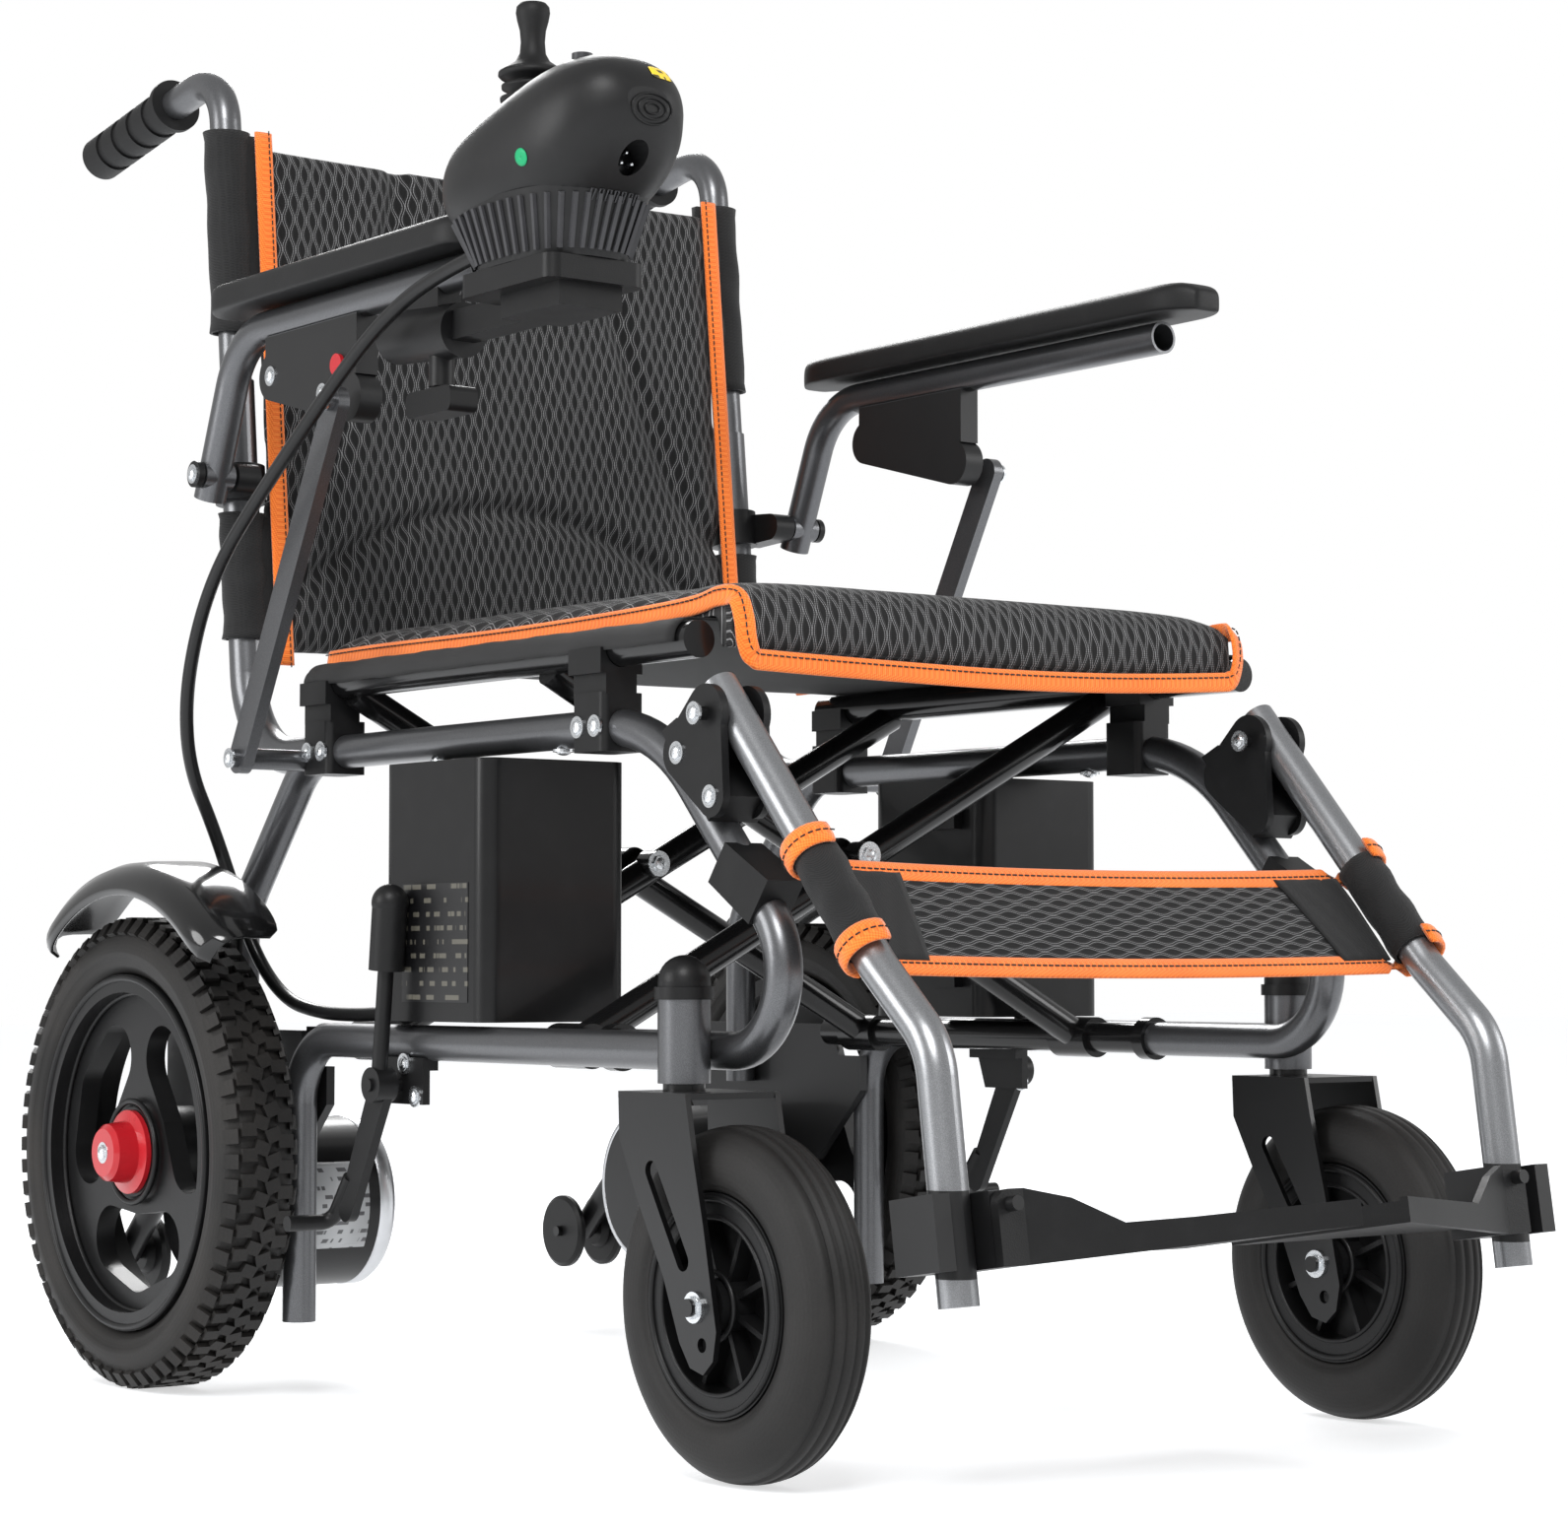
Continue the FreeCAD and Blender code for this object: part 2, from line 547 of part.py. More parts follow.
def caster_fork():
    """Bent-plate fork with its stem; the wheel's axle bolt is part of it."""
    half = FORK_GAP / 2
    toe = -CASTER_TRAIL
    outline = [(18, FORK_CROWN_Z), (17, FORK_CROWN_Z - 26), (0, FORK_CROWN_Z - 58),
               (toe + 30, CASTER_R + 14), (toe + 15, CASTER_R - 20),
               (toe + 5, CASTER_R - 33), (toe - 7, CASTER_R - 36),
               (toe - 16, CASTER_R - 28), (toe - 19, CASTER_R - 12), (toe - 7, CASTER_R + 44),
               (toe + 5, FORK_CROWN_Z - 24), (toe + 10, FORK_CROWN_Z)]
    pieces = []
    for side in (-1, 1):
        inner = OUTER_X + side * half
        leg = slab(outline, inner, side * FORK_PLATE)
        slot = hull(((-14, 170, 5.5), (-44, 122, 5.5)), inner - side, side * (FORK_PLATE + 2))
        leg = leg.cut(slot)
        spare = cyl(v(inner - side, -CASTER_TRAIL - 6, CASTER_R - 20),
                    v(inner + side * (FORK_PLATE + 1), -CASTER_TRAIL - 6, CASTER_R - 20), 4)
        pieces.append(leg.cut(spare))
    crown = box((OUTER_X - half - FORK_PLATE, OUTER_X + half + FORK_PLATE), (-46, 18),
                (FORK_CROWN_Z - FORK_PLATE, FORK_CROWN_Z))
    stem = cyl(v(OUTER_X, 0, FORK_CROWN_Z - 2), v(OUTER_X, 0, STEM_HOUSING_Z[1] - 2), STEM_R)
    washer = cyl(v(OUTER_X, 0, FORK_CROWN_Z), v(OUTER_X, 0, STEM_HOUSING_Z[0] - GAP), 12)
    reach = half + FORK_PLATE + 6
    wheel_centre = v(OUTER_X, -CASTER_TRAIL, CASTER_R)
    axle = cyl(wheel_centre - v(reach, 0, 0), wheel_centre + v(reach, 0, 0), CASTER_AXLE_R)
    return fused(pieces[0], pieces[1], crown, stem, washer, axle)


def caster_rim():
    """Dished caster rim with eight spokes and a hub on the fork's axle."""
    half = CASTER_WIDTH / 2
    left, right = OUTER_X - half, OUTER_X + half
    bore = CASTER_AXLE_R + FIT
    rim = ring([(left + 3, CASTER_DISH_R), (right - 3, CASTER_DISH_R),
                (right - 3, CASTER_RIM_R), (left + 3, CASTER_RIM_R)], -CASTER_TRAIL, CASTER_R)
    hub = ring([(left - 2, bore), (right + 2, bore),
                (right + 2, CASTER_HUB_R), (left - 2, CASTER_HUB_R)], -CASTER_TRAIL, CASTER_R)
    web = ring([(OUTER_X - 3, CASTER_HUB_R - 1), (OUTER_X + 3, CASTER_HUB_R - 1),
                (OUTER_X + 3, CASTER_DISH_R + 1), (OUTER_X - 3, CASTER_DISH_R + 1)], -CASTER_TRAIL, CASTER_R)
    spokes = []
    for k in range(8):
        spoke = box((OUTER_X - 14, OUTER_X + 14), (-CASTER_TRAIL - 1.6, -CASTER_TRAIL + 1.6),
                    (CASTER_R + CASTER_HUB_R - 1, CASTER_R + CASTER_DISH_R + 1))
        spoke.rotate(v(0, -CASTER_TRAIL, CASTER_R), v(1, 0, 0), 45 * k + 22.5)
        spokes.append(spoke)
    return fused(rim, hub, web, *spokes)


def rounded_tyre(x, half, bore, radius, corner, y, z):
    """Tyre with rounded shoulders."""
    profile = [(x - half, bore), (x + half, bore), (x + half, radius - corner)]
    profile += [(x + half - corner * 0.3, radius - corner * 0.3), (x + half - corner, radius)]
    profile += [(x - half + corner, radius), (x - half + corner * 0.3, radius - corner * 0.3)]
    profile += [(x - half, radius - corner)]
    return ring(profile, y, z)


def caster_tyre():
    """Solid caster tyre."""
    return rounded_tyre(OUTER_X, CASTER_WIDTH / 2, CASTER_RIM_R, CASTER_R, 15, -CASTER_TRAIL, CASTER_R)


def drive_tyre():
    """Solid block-tread tyre, as a plain band of its outer size."""
    return rounded_tyre(WHEEL_X, WHEEL_WIDTH / 2, WHEEL_RIM_R, WHEEL_R, 12, WHEEL_Y, WHEEL_R)


def drive_rim():
    """Three-spoke rim with large windows, and a hub on the drive axle."""
    face = WHEEL_X + WHEEL_RIM_FACE
    rim = ring([(WHEEL_X - 24, WHEEL_RIM_R - 12), (WHEEL_X + 24, WHEEL_RIM_R - 12),
                (WHEEL_X + 24, WHEEL_RIM_R), (WHEEL_X - 24, WHEEL_RIM_R)], WHEEL_Y, WHEEL_R)
    disc = ring([(face - 14, 20), (face, 20),
                 (face, WHEEL_RIM_R - 11), (face - 14, WHEEL_RIM_R - 11)], WHEEL_Y, WHEEL_R)
    hub = ring([(GEARBOX_X[1] + 1.2, WHEEL_AXLE_R + FIT), (WHEEL_X + 7, WHEEL_AXLE_R + FIT),
                (WHEEL_X + 7, KNOB_STEM_R + FIT), (face + 4, KNOB_STEM_R + FIT), (face + 4, WHEEL_HUB_R),
                (GEARBOX_X[1] + 1.2, WHEEL_HUB_R)], WHEEL_Y, WHEEL_R)
    body = fused(rim, disc, hub)
    for k in range(3):
        window = hull(((WHEEL_Y + 0.01, WHEEL_R + 68, 26), (WHEEL_Y + 38, WHEEL_R + 60, 22)), face - 30, 60)
        twin = hull(((WHEEL_Y - 0.01, WHEEL_R + 68, 26), (WHEEL_Y - 38, WHEEL_R + 60, 22)), face - 30, 60)
        window = window.fuse(twin)
        window.rotate(v(0, WHEEL_Y, WHEEL_R), v(1, 0, 0), 120 * k + 60)
        body = body.cut(window)
    return body


def clutch_knob():
    """Red clutch knob: a flanged cap whose stem slides in the hub."""
    face = WHEEL_X + WHEEL_RIM_FACE + 4
    profile = [(WHEEL_X + 7.3, 0), (WHEEL_X + 7.3, KNOB_STEM_R), (face + 0.5, KNOB_STEM_R),
               (face + 0.5, KNOB_R + 7), (face + 4, KNOB_R + 7), (face + 6, KNOB_R),
               (KNOB_OUT_X - 3, KNOB_R - 2), (KNOB_OUT_X, KNOB_R - 5), (KNOB_OUT_X, 0)]
    return ring(profile, WHEEL_Y, WHEEL_R)


def footrest_tube():
    """Swing-up footrest hanger with its hinge hole and an end plug."""
    y, z = HANGER_HINGE
    outer = rod(hanger_points(), list(HANGER_BENDS), TUBE_R)
    inner = rod(hanger_points(), list(HANGER_BENDS), TUBE_R - TUBE_WALL)
    boss = cyl(v(HANGER_X - TUBE_R - 0.7, y, z), v(HANGER_X + TUBE_R + 0.7, y, z), 7)
    hole = cyl(v(HANGER_X - 20, y, z), v(HANGER_X + 20, y, z), HANGER_BOLT_R + FIT)
    end, last = hanger_points()[-1], hanger_points()[-2]
    plug = cyl(end, end + (last - end).normalize() * 6, TUBE_R - TUBE_WALL)
    return Part.makeCompound([fused(outer.cut(inner), boss, plug).cut(hole), footplate_clamp()])


def plate_pin():
    """Ends of the footplate's pin, before the clamp is tilted to stand square on the hanger."""
    y, z = PLATE_PIVOT
    x = HANGER_X - TUBE_R - PLATE_PIN_INSET
    return v(x, y + 18, z + PLATE_PIN_LIFT), v(x, y - 32, z + PLATE_PIN_LIFT)


def footplate_clamp():
    """Clamp round the hanger's foot, with the pin that the footplate folds up on."""
    y, z = PLATE_PIVOT
    inner, outer = HANGER_X - TUBE_R, HANGER_X + TUBE_R
    heights = (z - 26, z + PLATE_PIN_LIFT + 8)
    cheek = box((inner - 16.5, inner - 0.6), (y - 18, y + 22), heights)
    far_cheek = box((outer + 0.6, outer + 12), (y - 14, y + 22), heights)
    web = box((inner - 16.5, outer + 12), (y + 9, y + 22), heights)
    start, end = plate_pin()
    body = fused(cheek, far_cheek, web, cyl(start, end, PLATE_PIN_R))
    body.rotate(v(0, y, z), v(1, 0, 0), -PLATE_TILT)
    return largest(body.cut(rod(hanger_points(), list(HANGER_BENDS), TUBE_R)))


def footplate():
    """Fold-up footplate: a front wall on the pin and a flat tread behind it."""
    y, z = PLATE_PIVOT
    start, end = plate_pin()
    pin_x, pin_z = start.x, start.z
    front, edge = y - 19, pin_x - 10
    slant = v(edge, front, 0)
    tip = v(PLATE_INNER, y - PLATE_FRONT, 0)
    wall = []
    for share, height in ((0, z - 26), (0, pin_z + 8), (0.14, pin_z + 1),
                          (0.3, z - 9), (1, z - 6), (1, z - 20)):
        wall.append(slant + (tip - slant) * share + v(0, 0, height))
    wall = Part.Face(Part.makePolygon(wall + wall[:1])).extrude(v(0, -6, 0))
    root = box((edge - 1, pin_x), (front - 6, front), (z - 26, pin_z + 8))
    root = root.fuse(cyl(v(pin_x, front, pin_z), v(pin_x, front - 6, pin_z), 8))
    root = root.fuse(box((pin_x, pin_x + 8), (front - 6, front), (z - 26, pin_z)))
    corners = [(edge, front - 2), (PLATE_INNER, tip.y - 2), (PLATE_INNER, y + PLATE_REAR), (edge, y + 22)]
    corners = [v(*corner, z - 20) for corner in corners + corners[:1]]
    tread = Part.Face(Part.makePolygon(corners)).extrude(v(0, 0, PLATE_T - 2))
    body = fused(wall, root, tread)
    body = body.cut(cyl(start, end - v(0, 10, 0), PLATE_PIN_R + FIT))
    body.rotate(v(0, y, z), v(1, 0, 0), -PLATE_TILT)
    return body


def arm_route(front_y):
    """Armrest tube: from the pivot up the cane, then forward."""
    y, z = ARM_PIVOT
    return [v(ARM_X, y + 8, z - 15), v(ARM_X, y - 36, ARM_TOP_Z), v(ARM_X, front_y, ARM_TOP_Z)]


def armrest_tube(front_y):
    """Armrest tube with its pivot hole and the release bracket below."""
    y, z = ARM_PIVOT
    path = arm_route(front_y)
    tube = rod(path, [ARM_BEND], TUBE_R)
    tube = tube.cut(rod(path, [ARM_BEND], TUBE_R - TUBE_WALL))
    boss = cyl(v(ARM_X - TUBE_R, y, z), v(ARM_X + TUBE_R, y, z), 9)
    bracket = hull(((440, 672, 16), (340, 646, 16)), ARM_X - 8, 16)
    ledge = box((ARM_X - 8, ARM_X + 8), (330, 448), (660, ARM_TOP_Z - TUBE_R + 2))
    bracket = fused(bracket, ledge).cut(rod(path, [ARM_BEND], TUBE_R - 0.5))
    button_hole = cyl(v(ARM_X, 352, 668), v(ARM_X + 9, 352, 668), 7 + FIT)
    body = fused(tube, boss, bracket).cut(button_hole)
    body = body.cut(rod(path, [ARM_BEND], TUBE_R - TUBE_WALL))
    return largest(body.cut(cyl(v(ARM_X - 30, y, z), v(ARM_X + 30, y, z), ARM_PIN_R + FIT)))


def armrest_button():
    """Red release button in the armrest bracket."""
    return cyl(v(ARM_X + 2.5, 352, 668), v(ARM_X + 10.5, 352, 668), 7)


def armrest_pad(front_y):
    """Armrest pad with rounded ends."""
    body = box((ARM_X - PAD_WIDTH / 2, ARM_X + PAD_WIDTH / 2), (front_y, PAD_Y[1]), PAD_Z)
    body = rounded(body, PAD_WIDTH / 2 - 3, lambda e: along(e, 2))
    return rounded(body, 7, lambda e: e.BoundBox.ZLength < 0.1 and e.BoundBox.ZMin > PAD_Z[1] - 1)


def armrest_strut():
    """Flat strut that holds the armrest up, bolted low on the side frame."""
    low, high = STRUT_FOOT, STRUT_HEAD
    bar = hull(((low[0], low[1], STRUT_W / 2), (high[0], high[1], STRUT_W / 2)), STRUT_X, STRUT_T)
    head = cyl(v(STRUT_X + STRUT_T - 1, *high), v(STRUT_X + STRUT_T + 5, *high), 6)
    foot = cyl(v(STRUT_X + STRUT_T - 1, *low), v(STRUT_X + STRUT_T + 5, *low), 6)
    return fused(bar, head, foot)


def brake_bracket():
    """Bracket under the outer rail that carries the brake lever."""
    y, z = BRAKE_PIVOT
    plate = slab(((y - 28, 226), (y - 28, z - 12), (y + 12, z - 12), (y + 22, 226)), OUTER_X + 4, 5)
    strap = box((OUTER_X - 2, OUTER_X + 9), (y - 28, y + 22), (218, 226))
    pin = cyl(v(OUTER_X + 5, y, z), v(BRAKE_X + 8, y, z), 4)
    return fused(plate, strap, pin).cut(rod(outer_route(0), [OUTER_RAIL_BEND], TUBE_R))


def brake_lever():
    """Brake lever: grip, bent rod, link plates and the bar that presses on the tyre."""
    y, z = BRAKE_PIVOT
    hub = cyl(v(BRAKE_X - 8, y, z), v(BRAKE_X + 6, y, z), 11)
    lever = rod([v(BRAKE_X, y, z), v(BRAKE_X, y - 4, z + 34), v(BRAKE_X, y - 9, 290)], [20], BRAKE_ROD_R)
    grip = cyl(v(BRAKE_X, y - 8.4, 280), v(BRAKE_X, y - 12.5, 322), 11)
    ball = Part.makeSphere(11.5, v(BRAKE_X, y - 12.5, 322))
    link = hull(((y, z, 10), (y + 40, 130, 8)), BRAKE_X - 6, 6)
    bar = rod([v(BRAKE_X - 3, y + 38, 150), v(BRAKE_X - 3, y + 60, 121), v(BRAKE_X + 30, y + 60, 121)],
              [9], BRAKE_ROD_R)
    body = fused(hub, lever, grip, ball, link, bar)
    return body.cut(cyl(v(BRAKE_X - 40, y, z), v(BRAKE_X + 40, y, z), 4 + FIT))


def brace_end(y, sign):
    """Sleeve of a brace tube round a lower rail; sign is the rail's side."""
    x = sign * SIDE_X
    low, high = v(x, y - SLEEVE_LEN / 2, LOWER_RAIL_Z), v(x, y + SLEEVE_LEN / 2, LOWER_RAIL_Z)
    return cyl(low, high, SLEEVE_R), cyl(low - v(0, 5, 0), high + v(0, 5, 0), BRACE_RAIL_R + FIT)


def cross_brace(ys, sign):
    """Half of the folding cross: two tubes from one lower rail up to the opposite seat rail.

    sign is the side of the seat rail that this half carries.
    """
    front = v(sign * SEAT_X, SEAT_RAIL_Y[0], SEAT_RAIL_Z)
    rear = v(sign * SEAT_X, SEAT_RAIL_Y[1], SEAT_RAIL_Z)
    rail = cyl(front, rear, SEAT_RAIL_R)
    bore = cyl(front + v(0, 6, 0), rear + v(0, 2, 0), SEAT_RAIL_R - TUBE_WALL)
    solids = [rail.cut(bore)]
    holes = []
    for y in ys:
        start = v(-sign * SIDE_X, y, LOWER_RAIL_Z)
        end = v(sign * SEAT_X, y, SEAT_RAIL_Z - 8)
        solids.append(cyl(start, end, BRACE_TUBE_R).cut(bore))
        sleeve, hole = brace_end(y, -sign)
        solids.append(sleeve)
        holes.append(hole)
    body = fused(*solids)
    for hole in holes:
        body = body.cut(hole)
    return body


def brace_halves():
    """Both halves of the cross, joined at two pivot pins on the chair's middle plane."""
    first = cross_brace(BRACE_A_YS, 1)
    second = cross_brace(BRACE_B_YS, -1)
    for ya, yb in zip(BRACE_A_YS, BRACE_B_YS):
        pin = cyl(v(0, ya, PIVOT_Z), v(0, yb + 14, PIVOT_Z), PIVOT_R)
        head = cyl(v(0, ya - 14, PIVOT_Z), v(0, ya, PIVOT_Z), PIVOT_R + 3)
        first = first.fuse([pin, head])
        boss = cyl(v(0, yb - 11.5, PIVOT_Z), v(0, yb + 12, PIVOT_Z), PIVOT_R + 6)
        hole = cyl(v(0, yb - 30, PIVOT_Z), v(0, yb + 40, PIVOT_Z), PIVOT_R + FIT)
        second = second.fuse(boss).cut(hole)
    return first.removeSplitter(), second.removeSplitter()


def seat_sling():
    """Sling cloth stretched from seat rail to seat rail."""
    z = SEAT_RAIL_Z + SEAT_RAIL_R + 0.4
    return box((-SEAT_X + 4, SEAT_X - 4), (SEAT_RAIL_Y[0] + 6, SEAT_RAIL_Y[1] - 6), (z, z + SLING_T))


def seat_cushion():
    """Seat cushion with the roll that hangs over the front edge."""
    top = CUSHION_TOP_Z
    low = SEAT_RAIL_Z + SEAT_RAIL_R + SLING_T + 0.8
    body = box((-CUSHION_HALF, CUSHION_HALF), (CUSHION_Y[0] + 12, CUSHION_Y[1]), (low, top))
    roll = box((-CUSHION_HALF + 8, CUSHION_HALF - 8), (CUSHION_Y[0], SEAT_RAIL_Y[0] - 1),
               (ROLL_BOTTOM_Z, top))
    body = fused(body, roll)
    return rounded(body, 7, lambda e: along(e, 0) and e.BoundBox.ZMin > top - 0.1 and e.BoundBox.YMax < 100)


def leaning(x, y_offset, thickness, z):
    """Flat panel that leans back with the canes."""
    z0, z1 = z
    y0, y1 = cane_y(z0) + y_offset, cane_y(z1) + y_offset
    return slab(((y0, z0), (y0 + thickness, z0), (y1 + thickness, z1), (y1, z1)), x[0], x[1] - x[0])


def back_upholstery():
    """Padded back panel between the canes, with a sleeve down each cane."""
    panel = leaning((-BACK_HALF, BACK_HALF), -BACK_T / 2 - 4, BACK_T, BACK_Z)
    lean = v(0, CANE_LEAN, 1).normalize()
    sleeves = []
    for sign in (-1, 1):
        for low, high in ((722.0, BACK_Z[1]), (506.0, 598.0)):
            a, b = v(sign * SIDE_X, cane_y(low), low), v(sign * SIDE_X, cane_y(high), high)
            sleeves.append(cyl(a, b, 17))
    body = fused(panel, *sleeves)
    for sign in (-1, 1):
        a, b = v(sign * SIDE_X, cane_y(440), 440), v(sign * SIDE_X, cane_y(980), 980)
        body = body.cut(cyl(a, b, CANE_R + GAP))
        a, b = (v(sign * SIDE_X, cane_y(z), z) for z in (ARM_PIVOT[1] - 15, ARM_PIVOT[1] + 15))
        body = body.cut(cyl(a, b, CANE_R + 6))
    return body


def calf_strap():
    """Calf strap: a band across the chair, wrapped round both hangers."""
    low, high = hanger_points()[1], hanger_points()[0]
    direction = (high - low).normalize()
    a, b = low + direction * 12, low + direction * 84
    normal = direction.cross(v(1, 0, 0)).normalize()
    if normal.z < 0:
        normal = normal * -1
    band = Part.Face(Part.makePolygon([
        v(-HANGER_X, a.y, a.z), v(HANGER_X, a.y, a.z), v(HANGER_X, b.y, b.z), v(-HANGER_X, b.y, b.z),
        v(-HANGER_X, a.y, a.z)])).extrude(normal * STRAP_T)
    band.translate(normal * (-TUBE_R - STRAP_T - GAP))
    cuffs = []
    cores = []
    for sign in (-1, 1):
        start, stop = v(sign * HANGER_X, a.y, a.z), v(sign * HANGER_X, b.y, b.z)
        cuffs.append(cyl(start, stop, TUBE_R + GAP + STRAP_T))
        cores.append(cyl(start - direction * 30, stop + direction * 30, TUBE_R + GAP))
    body = fused(band, *cuffs)
    for core in cores:
        body = body.cut(core)
    return body


def controller_mount():
    """Clamp cylinder under the armrest tube, with its hanger."""
    x = -ARM_X
    barrel = cyl(v(x, 214, 672), v(x, 292, 678), 17)
    hanger = box((x - 8, x + 8), (232, 274), (680, ARM_TOP_Z - 2))
    bore = box((x - 9.05, x + 9.05), (190, 262), (664.95, 683.05))
    nut = cyl(v(x, 240, 640), v(x, 240, 662), 8)
    body = fused(barrel, hanger, nut).cut(bore)
    body = body.cut(mirrored(rod(arm_route(ARM_FRONT_Y_RIGHT), [ARM_BEND], TUBE_R)))
    return body.cut(cyl(v(x, 240, 600), v(x, 240, 670), 4 + FIT))


def controller_rod():
    """Square bar that slides in the clamp, with the pod's carrier."""
    x = -ARM_X
    bar = box((x - 9, x + 9), (120, 258), (665, 683))
    carrier = box((POD_X - 34, POD_X + 34), (52, 150), (676, 690))
    carrier = rounded(carrier, 8, lambda e: along(e, 2))
    lobe = box((POD_X - 22, POD_X + 22), (60, 122), (662, 677))
    return fused(bar, carrier, lobe)


def clamp_knob():
    """T-shaped clamp screw under the mount."""
    x = -ARM_X
    stem = cyl(v(x, 240, 636), v(x, 240, 664.5), 4)
    bar = box((x - 10, x + 10), (214, 266), (622, 638))
    return fused(stem, rounded(bar, 5, lambda e: along(e, 0)))


def pod_section(x, y, z, width, length, power=2.6):
    """Closed egg-shaped outline, flat at one height."""
    points = []
    for k in range(24):
        t = 2 * math.pi * k / 24
        c, s = math.cos(t), math.sin(t)
        px = math.copysign(abs(c) ** (2 / power), c) * width / 2
        py = math.copysign(abs(s) ** (2 / power), s) * length / 2
        points.append(v(x + px, y + py, z))
    curve = Part.BSplineCurve()
    curve.interpolate(points, PeriodicFlag=True)
    return Part.Wire([curve.toShape()])


def pod_slice(y, low, top, half):
    """Rounded upright section of the pod's shell at one length."""
    middle = (low + top) / 2
    points = []
    for k in range(20):
        t = 2 * math.pi * k / 20
        c, s = math.cos(t), math.sin(t)
        px = math.copysign(abs(c) ** 0.86, c) * half
        pz = math.copysign(abs(s) ** 0.86, s) * (top - low) / 2
        points.append(v(POD_X + px, y, middle + pz))
    curve = Part.BSplineCurve()
    curve.interpolate(points, PeriodicFlag=True)
    return Part.Wire([curve.toShape()])


def controller_shell():
    """Egg-shaped joystick pod on a ribbed base: it rises towards its nose and slants back below it."""
    base = Part.makeLoft([
        pod_section(POD_X, 100, 690.3, 68, 100),
        pod_section(POD_X, 100, 728, 88, 132),
    ], True)
    egg = Part.makeLoft([pod_slice(*numbers) for numbers in POD_SLICES], True)
    body = base.fuse(egg)
    well = cyl(v(POD_X, 122, 764), v(POD_X, 122, 790), 25)
    well = well.fuse(Part.makeCone(25, 46, 30, v(POD_X, 122, 784), v(0, 0, 1)))
    socket = cyl(v(POD_X, -60, 742), v(POD_X, 44, 742), 9)
    body = body.cut(well).cut(socket)
    for x in (-16, 16):
        body = body.cut(cyl(v(POD_X + x, 46, 794), v(POD_X + x, 46, 830), 6 + GAP))
    return largest(body)


def gimbal():
    """Inner cradle with stub trunnions, slotted so that the joystick can also tilt sideways."""
    y, z = STICK_PIVOT
    ball = Part.makeSphere(9.4, v(POD_X, y, z))
    ball = ball.fuse(cyl(v(POD_X - 13, y, z), v(POD_X + 13, y, z), 3))
    ball = ball.cut(box((POD_X - 20, POD_X + 20), (y - 5.3, y + 5.3), (z - 6.8, z + 12)))
    return ball.cut(cyl(v(POD_X, y - 12, z), v(POD_X, y + 12, z), 2 + FIT))


def joystick():
    """Joystick with its cross pin, flared skirt and bellows."""
    y, z = STICK_PIVOT
    axis = v(0, 0, 1)
    stick = Part.makeCylinder(5, z + 45 - 771, v(POD_X, y, 771), axis)
    pin = cyl(v(POD_X, y - 8.5, z), v(POD_X, y + 8.5, z), 2)
    bellows = [Part.makeCone(r0, r1, 5, v(POD_X, y, height), axis) for r0, r1, height in
               ((15, 20, 786), (20, 14, 791), (14, 19, 796), (19, 13, 801))]
    skirt = Part.makeCone(21, 8, 14, v(POD_X, y, 806), axis)
    neck = Part.makeCylinder(8, 16, v(POD_X, y, 819), axis)
    head = Part.makeCone(8, 10, 20, v(POD_X, y, 834), axis)
    return fused(stick, pin, *bellows, skirt, neck, head)


def pod_button(x):
    """Push button on the pod's top."""
    return cyl(v(POD_X + x, 46, 797), v(POD_X + x, 46, 805), 6)


CABLE_POINTS = (
    (-274.0, 166.0, 707.0), (-278.0, 212.0, 700.0), (-284.0, 260.0, 679.0), (-291.0, 305.0, 645.0),
    (-294.0, 350.0, 612.0), (-295.0, 396.0, 580.0), (-297.0, 438.0, 546.0), (-296.0, 470.0, 506.0),
    (-296.0, 486.0, 458.0), (-286.0, 498.0, 414.0), (-262.0, 509.0, 376.0), (-241.0, 518.0, 334.0),
    (-230.0, 508.0, 290.0), (-226.0, 474.0, 260.0), (-225.0, 430.0, 252.0), (-226.0, 386.0, 251.0),
    (-226.5, 348.0, 252.0), (-225.0, 315.0, 254.0),
)
CABLE_R = 4.5


def controller_cable():
    """Cable from the pod down to the frame, held along its way."""
    points = [v(*p) for p in CABLE_POINTS]
    bends = []
    for i in range(1, len(points) - 1):
        a, b = points[i - 1] - points[i], points[i + 1] - points[i]
        turn = math.pi - a.getAngle(b)
        bends.append(0.45 * min(a.Length, b.Length) / math.tan(turn / 2))
    solid = rod(points, bends, CABLE_R)
    length = route(points, bends).Length
    print("cable radii", [round(b) for b in bends], "volume ratio",
          round(solid.Volume / (math.pi * CABLE_R ** 2 * length), 4))
    return solid


def put(name, shape):
    """Write one node, moved so that the origin is under the middle of the chair."""
    moved = shape.copy()
    moved.translate(v(0, -ORIGIN_Y, 0))
    moved.exportStep("parts/" + name + ".step")


def put_pair(name, shape):
    """Write the left piece and its mirror image on the right."""
    put(name + "_left", shape)
    put(name + "_right", mirrored(shape))


os.makedirs("parts", exist_ok=True)
frame_solid = side_frame()
put_pair("side_frame", frame_solid)
put_pair("back_cane", back_cane())
put_pair("push_grip", push_grip())
put_pair("frame_fittings", frame_fittings(frame_solid))
put_pair("brace_rail", brace_rail())
put_pair("battery_box", battery_box())
put_pair("drive_motor", drive_motor())
put_pair("anti_tip_wheel", anti_tip_wheel())
put_pair("mudguard", mudguard())
put_pair("caster_fork", caster_fork())
put_pair("caster_rim", caster_rim())
put_pair("caster_tyre", caster_tyre())
put_pair("drive_tyre", drive_tyre())
put_pair("drive_rim", drive_rim())
put_pair("clutch_knob", clutch_knob())
put_pair("footrest_tube", footrest_tube())
put_pair("footplate", footplate())
put("armrest_tube_left", armrest_tube(ARM_FRONT_Y))
